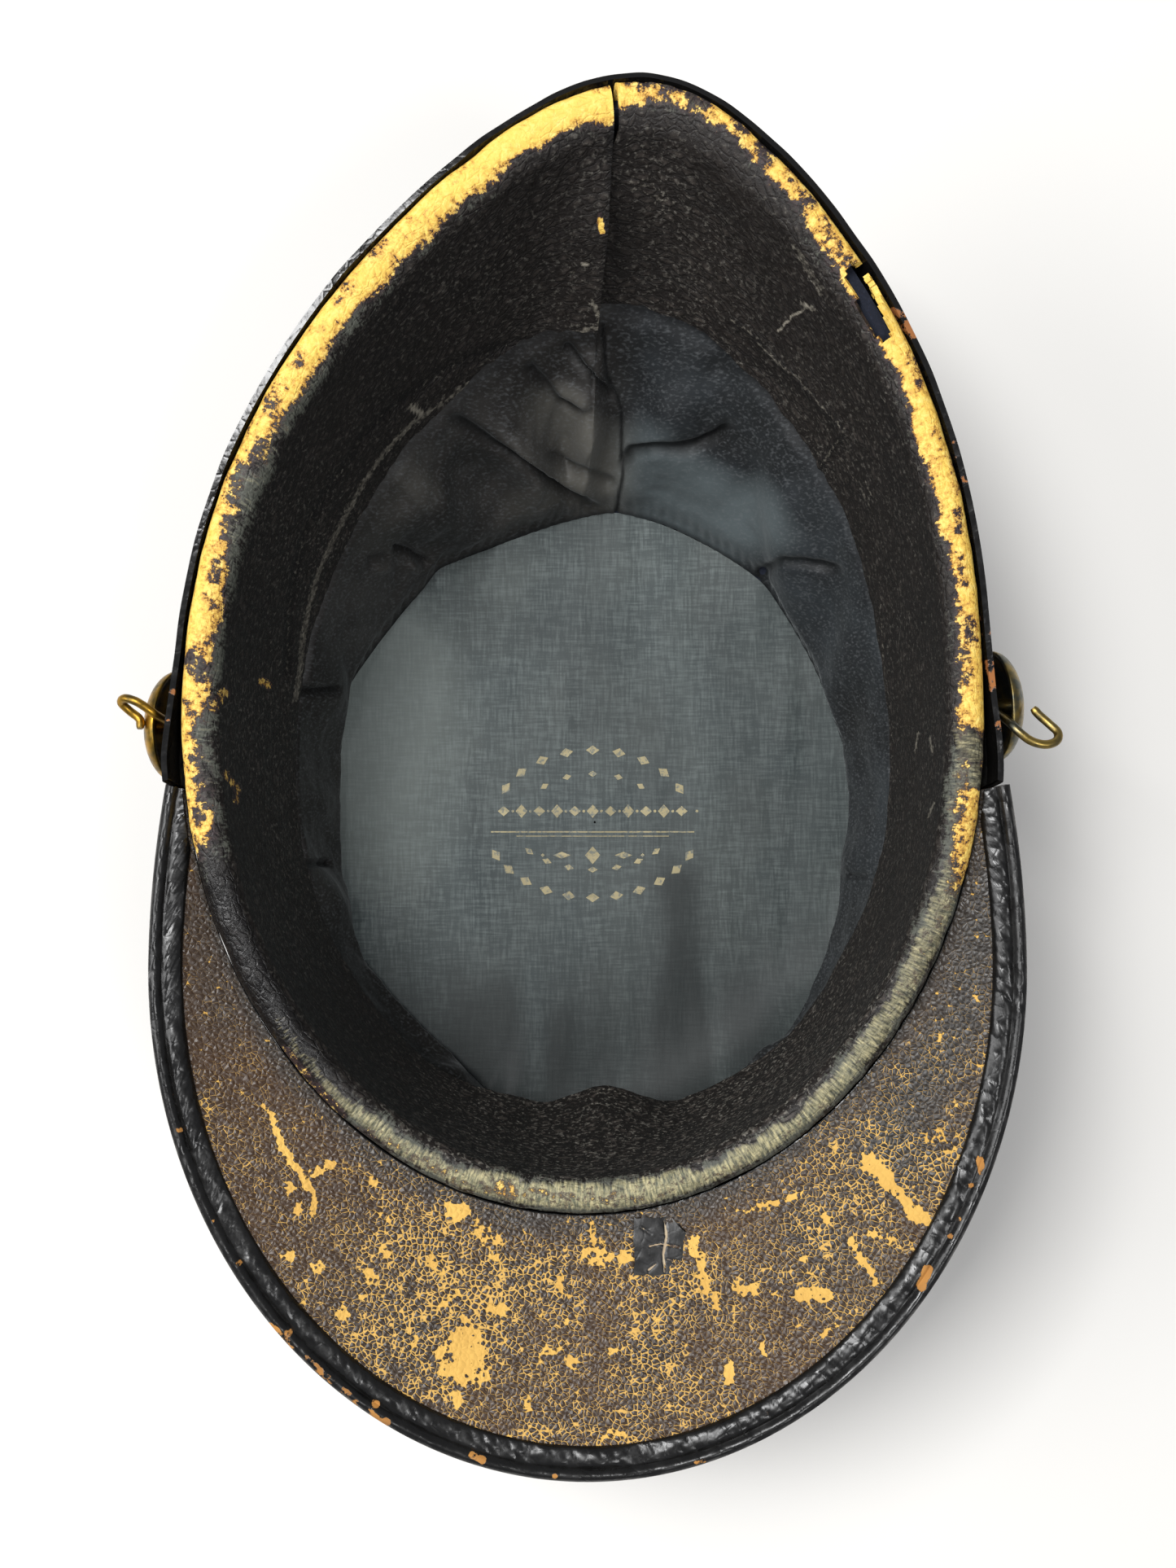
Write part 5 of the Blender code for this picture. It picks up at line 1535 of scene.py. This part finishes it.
def weather(leather):
    """Sets how the visor's underside is rubbed and crackled, and where shade is painted on it."""
    places = places_of(leather)
    x, y = places[:, 0], places[:, 1]
    patchy = 0.75 + 0.5 * noise(x, y, 11, 14) + 0.25 * noise(x, y, 4, 15)
    crackled = np.clip((0.16 + 0.9 * strokes(places, CRACKLED_PLACES, 0.0)) * patchy, 0.05, 1.2)
    near = 1 - smooth(0.02, 0.17, read(leather, "across") + 0.02 * noise(x, y, 6, 2))
    paint(
        leather,
        rubbed=strokes(places, RUBBED_PLACES, 0.1),
        crackled=crackled * (1 - 0.6 * near),
        # painted shade near the cap and where the shade table puts it
        dusk=np.maximum(0.65 * near, strokes(places, UNDERSIDE_SHADE, 0.0)),
    )


underlay = visor_layer("visor_underside_leather", 0.0, UNDERLAY_THICKNESS, 540, 68)
weather(underlay)
wear(underlay, grained_leather())
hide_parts("visor_lining")

board = visor_layer("visor_board", BOARD_TOP, VISOR_THICKNESS, 300, 20)
wear(board, patent_leather("black_patent_leather"))
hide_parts("visor")

binding = visor_binding()
wear(binding, patent_leather("creased_patent_leather", gloss=(0.2, 0.42)))
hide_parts("visor_binding")

band = base_band()
wear(band, patent_leather("worn_patent_leather", "#A8672E"))
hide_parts("base_band")

wool = navy_wool()
body = body_cloth()
wear(body, wool)
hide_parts("cap_body")

crown = crown_cloth()
wear(crown, wool)
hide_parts("crown_top")

piping = crown_piping()
wear(piping, wool)
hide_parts("crown_welt")

for node, side, y, table, brass in (
    ("left_boss", -1, LEFT_BOSS_Y, LEFT_HOOK_TABLE, aged_brass("aged_gilt_brass", "#564A2A", "#A67F2C")),
    ("right_boss", 1, RIGHT_BOSS_Y, RIGHT_HOOK_TABLE, aged_brass("tarnished_gilt_brass", "#4E4F45", "#8F7A42")),
):
    shell = boss_shell(node + "_shell", side, y)
    wear(shell, brass)
    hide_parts(node)
    hook = boss_hook(node + "_hook", side, y, table)
    wear(hook, brass)
    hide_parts(node)


def size_patch():
    """The small square leather label stuck to the visor's underside, its edge and one corner torn."""
    across, along = np.meshgrid(np.linspace(-1, 1, 48), np.linspace(-1, 1, 48), indexing="ij")
    x = PATCH_MIDDLE[0] + PATCH_HALF_SIDES[0] * across
    y = PATCH_MIDDLE[1] + PATCH_HALF_SIDES[1] * along
    corner = np.clip(across + along - 1.45, 0, 1)
    x, y = x - corner * 4.6, y - corner * 2.4
    tear = 0.25 * noise(x, y, 1.4, 15) * np.maximum(np.abs(across), np.abs(along)) ** 6
    x, y = x + tear, y + tear
    front = OPENING_MIDDLE[1] - OPENING_FRONT_LENGTH
    seat = rim_height(front) - VISOR_DROP_FRONT + (front - 0.6 - y) * VISOR_RISE
    height = seat + PATCH_LIFT + 0.25 * noise(x, y, 2.4, 2)
    points = np.stack([x, y, height], -1)
    cracked = strokes(points, PATCH_CRACKS)
    points[..., 2] -= PATCH_THICKNESS / 2 * cracked
    return sheet_from_grid("size_patch_leather", points, {"chipped": 0.75 * cracked}, PATCH_THICKNESS)


patch = size_patch()
wear(patch, patent_leather("cracked_patent_leather", "#C9C0A4", (0.3, 0.5)))
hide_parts("size_patch")


# A gilt ornament of plain lozenges, dots and rules pressed into the cotton
ORNAMENT_MIDDLE = (-0.5, 0.0)
LEAF_THICKNESS = 0.1
LEAF_LIFT = 0.05
LINE_PITCH = 4.2
LOZENGE_ROWS = (
    # (how many, half-width and half-height of the arc, from and to in degrees, half-length and half-width of each)
    (9, 23.2, 17.0, 152, 28, 1.6, 1.1),
    (11, 25.4, 17.8, 206, 334, 1.6, 1.1),
    (5, 17.0, 11.4, 132, 48, 1.1, 0.7),
    (7, 19.0, 11.2, 218, 322, 1.2, 0.7),
)
RULES = (
    # (left end, right end, height, half-width)
    (-24.0, 24.0, -2.3, 0.16),
    (-18.0, 18.0, -3.3, 0.1),
)


def leaf_lozenge(x, y, turn, half_length, half_width, corners=4):
    """One small flat lozenge, or with more corners a dot, of gold leaf."""
    bpy.ops.mesh.primitive_cylinder_add(vertices=corners, radius=MM, depth=LEAF_THICKNESS * MM, location=(0, 0, 0))
    thing = bpy.context.active_object
    thing.rotation_euler = (0, 0, turn)
    thing.location = ((ORNAMENT_MIDDLE[0] + x) * MM, (ORNAMENT_MIDDLE[1] + y) * MM, 0)
    thing.scale = (half_length, half_width, 1)
    settle(thing)
    return thing


def gilt_ornament(cloth):
    """The ornament, laid on the cloth."""
    pieces = []
    for count, half_width, half_height, start, end, length, width in LOZENGE_ROWS:
        for degrees in np.linspace(start, end, count):
            a = math.radians(degrees)
            turn = math.atan2(half_height * math.cos(a), -half_width * math.sin(a))
            pieces.append(leaf_lozenge(half_width * math.cos(a), half_height * math.sin(a), turn, length, width))
    for k in range(-5, 6):
        pieces.append(leaf_lozenge(LINE_PITCH * k, 2.6, 0, 1.4, 1.6 - 0.4 * (k % 2)))
        pieces.append(leaf_lozenge(LINE_PITCH * (k + 0.5) if k < 5 else 24.6, 2.6, 0, 0.35, 0.35, 8))
    for x, length, width in ((0, 1.8, 2.1), (-7.3, 2.1, 0.8), (7.3, 2.1, 0.8), (-11.8, 0.45, 0.45), (11.8, 0.45, 0.45)):
        pieces.append(leaf_lozenge(x, -7.8, 0, length, width))
    for left, right, y, half_width in RULES:
        bpy.ops.mesh.primitive_grid_add(x_subdivisions=40, y_subdivisions=1, size=2 * MM, location=(0, 0, 0))
        rule = bpy.context.active_object
        rule.location = ((ORNAMENT_MIDDLE[0] + (left + right) / 2) * MM, (ORNAMENT_MIDDLE[1] + y) * MM, 0)
        rule.scale = ((right - left) / 2, half_width, 1)
        settle(rule)
        apply_modifier(rule, "SOLIDIFY", thickness=LEAF_THICKNESS * MM, offset=0.0)
        pieces.append(rule)
    bpy.ops.object.select_all(action="DESELECT")
    for piece in pieces:
        piece.select_set(True)
    leaf = pieces[0]
    bpy.context.view_layer.objects.active = leaf
    bpy.ops.object.join()
    leaf.name = "gilt_ornament"
    surface = BVHTree.FromObject(cloth, bpy.context.evaluated_depsgraph_get())
    for vertex in leaf.data.vertices:
        hit = surface.ray_cast(Vector((vertex.co.x, vertex.co.y, 50 * MM)), Vector((0, 0, -1)))[0]
        vertex.co.z += hit.z + LEAF_LIFT * MM
    return leaf


ornament = gilt_ornament(oval)
wear(ornament, worn_gold_leaf())


# Floor, light and camera


bpy.ops.mesh.primitive_plane_add(size=6, location=(0, 0, 0))
floor = bpy.context.active_object
floor.name = "floor"
floor.data.materials.append(new_finish("pale_floor", Base_Color="#D9D7D3", Roughness=0.8)[0])


LIGHT_AIM = Vector((0, 0, 0.05))


def soft_light(name, place, size, energy):
    """A large square light aimed at the cap."""
    data = bpy.data.lights.new(name, "AREA")
    data.size, data.energy = size, energy
    light = bpy.data.objects.new(name, data)
    bpy.context.scene.collection.objects.link(light)
    light.location = place
    light.rotation_euler = (LIGHT_AIM - Vector(place)).to_track_quat("-Z", "Y").to_euler()


soft_light("window_light", (-0.85, 0.0, 0.8), 0.6, 7)
soft_light("ceiling_light", (-0.45, 0.35, 1.3), 0.45, 17)
soft_light("fill_light", (0.5, -0.4, 1.25), 0.4, 6)

world = bpy.data.worlds.new("studio")
bpy.context.scene.world = world
world.use_nodes = True
sky = world.node_tree.nodes["Background"]
sky.inputs["Color"].default_value = (0.9, 0.93, 1.0, 1.0)
sky.inputs["Strength"].default_value = 0.32
bpy.context.scene.view_settings.view_transform = "Standard"

camera_data = bpy.data.cameras.new("camera")
camera_data.lens, camera_data.sensor_width = CAMERA_LENS, SENSOR
camera = bpy.data.objects.new("camera", camera_data)
camera.location = Vector(CAMERA_PLACE) * MM
bpy.context.scene.collection.objects.link(camera)
bpy.context.scene.camera = camera
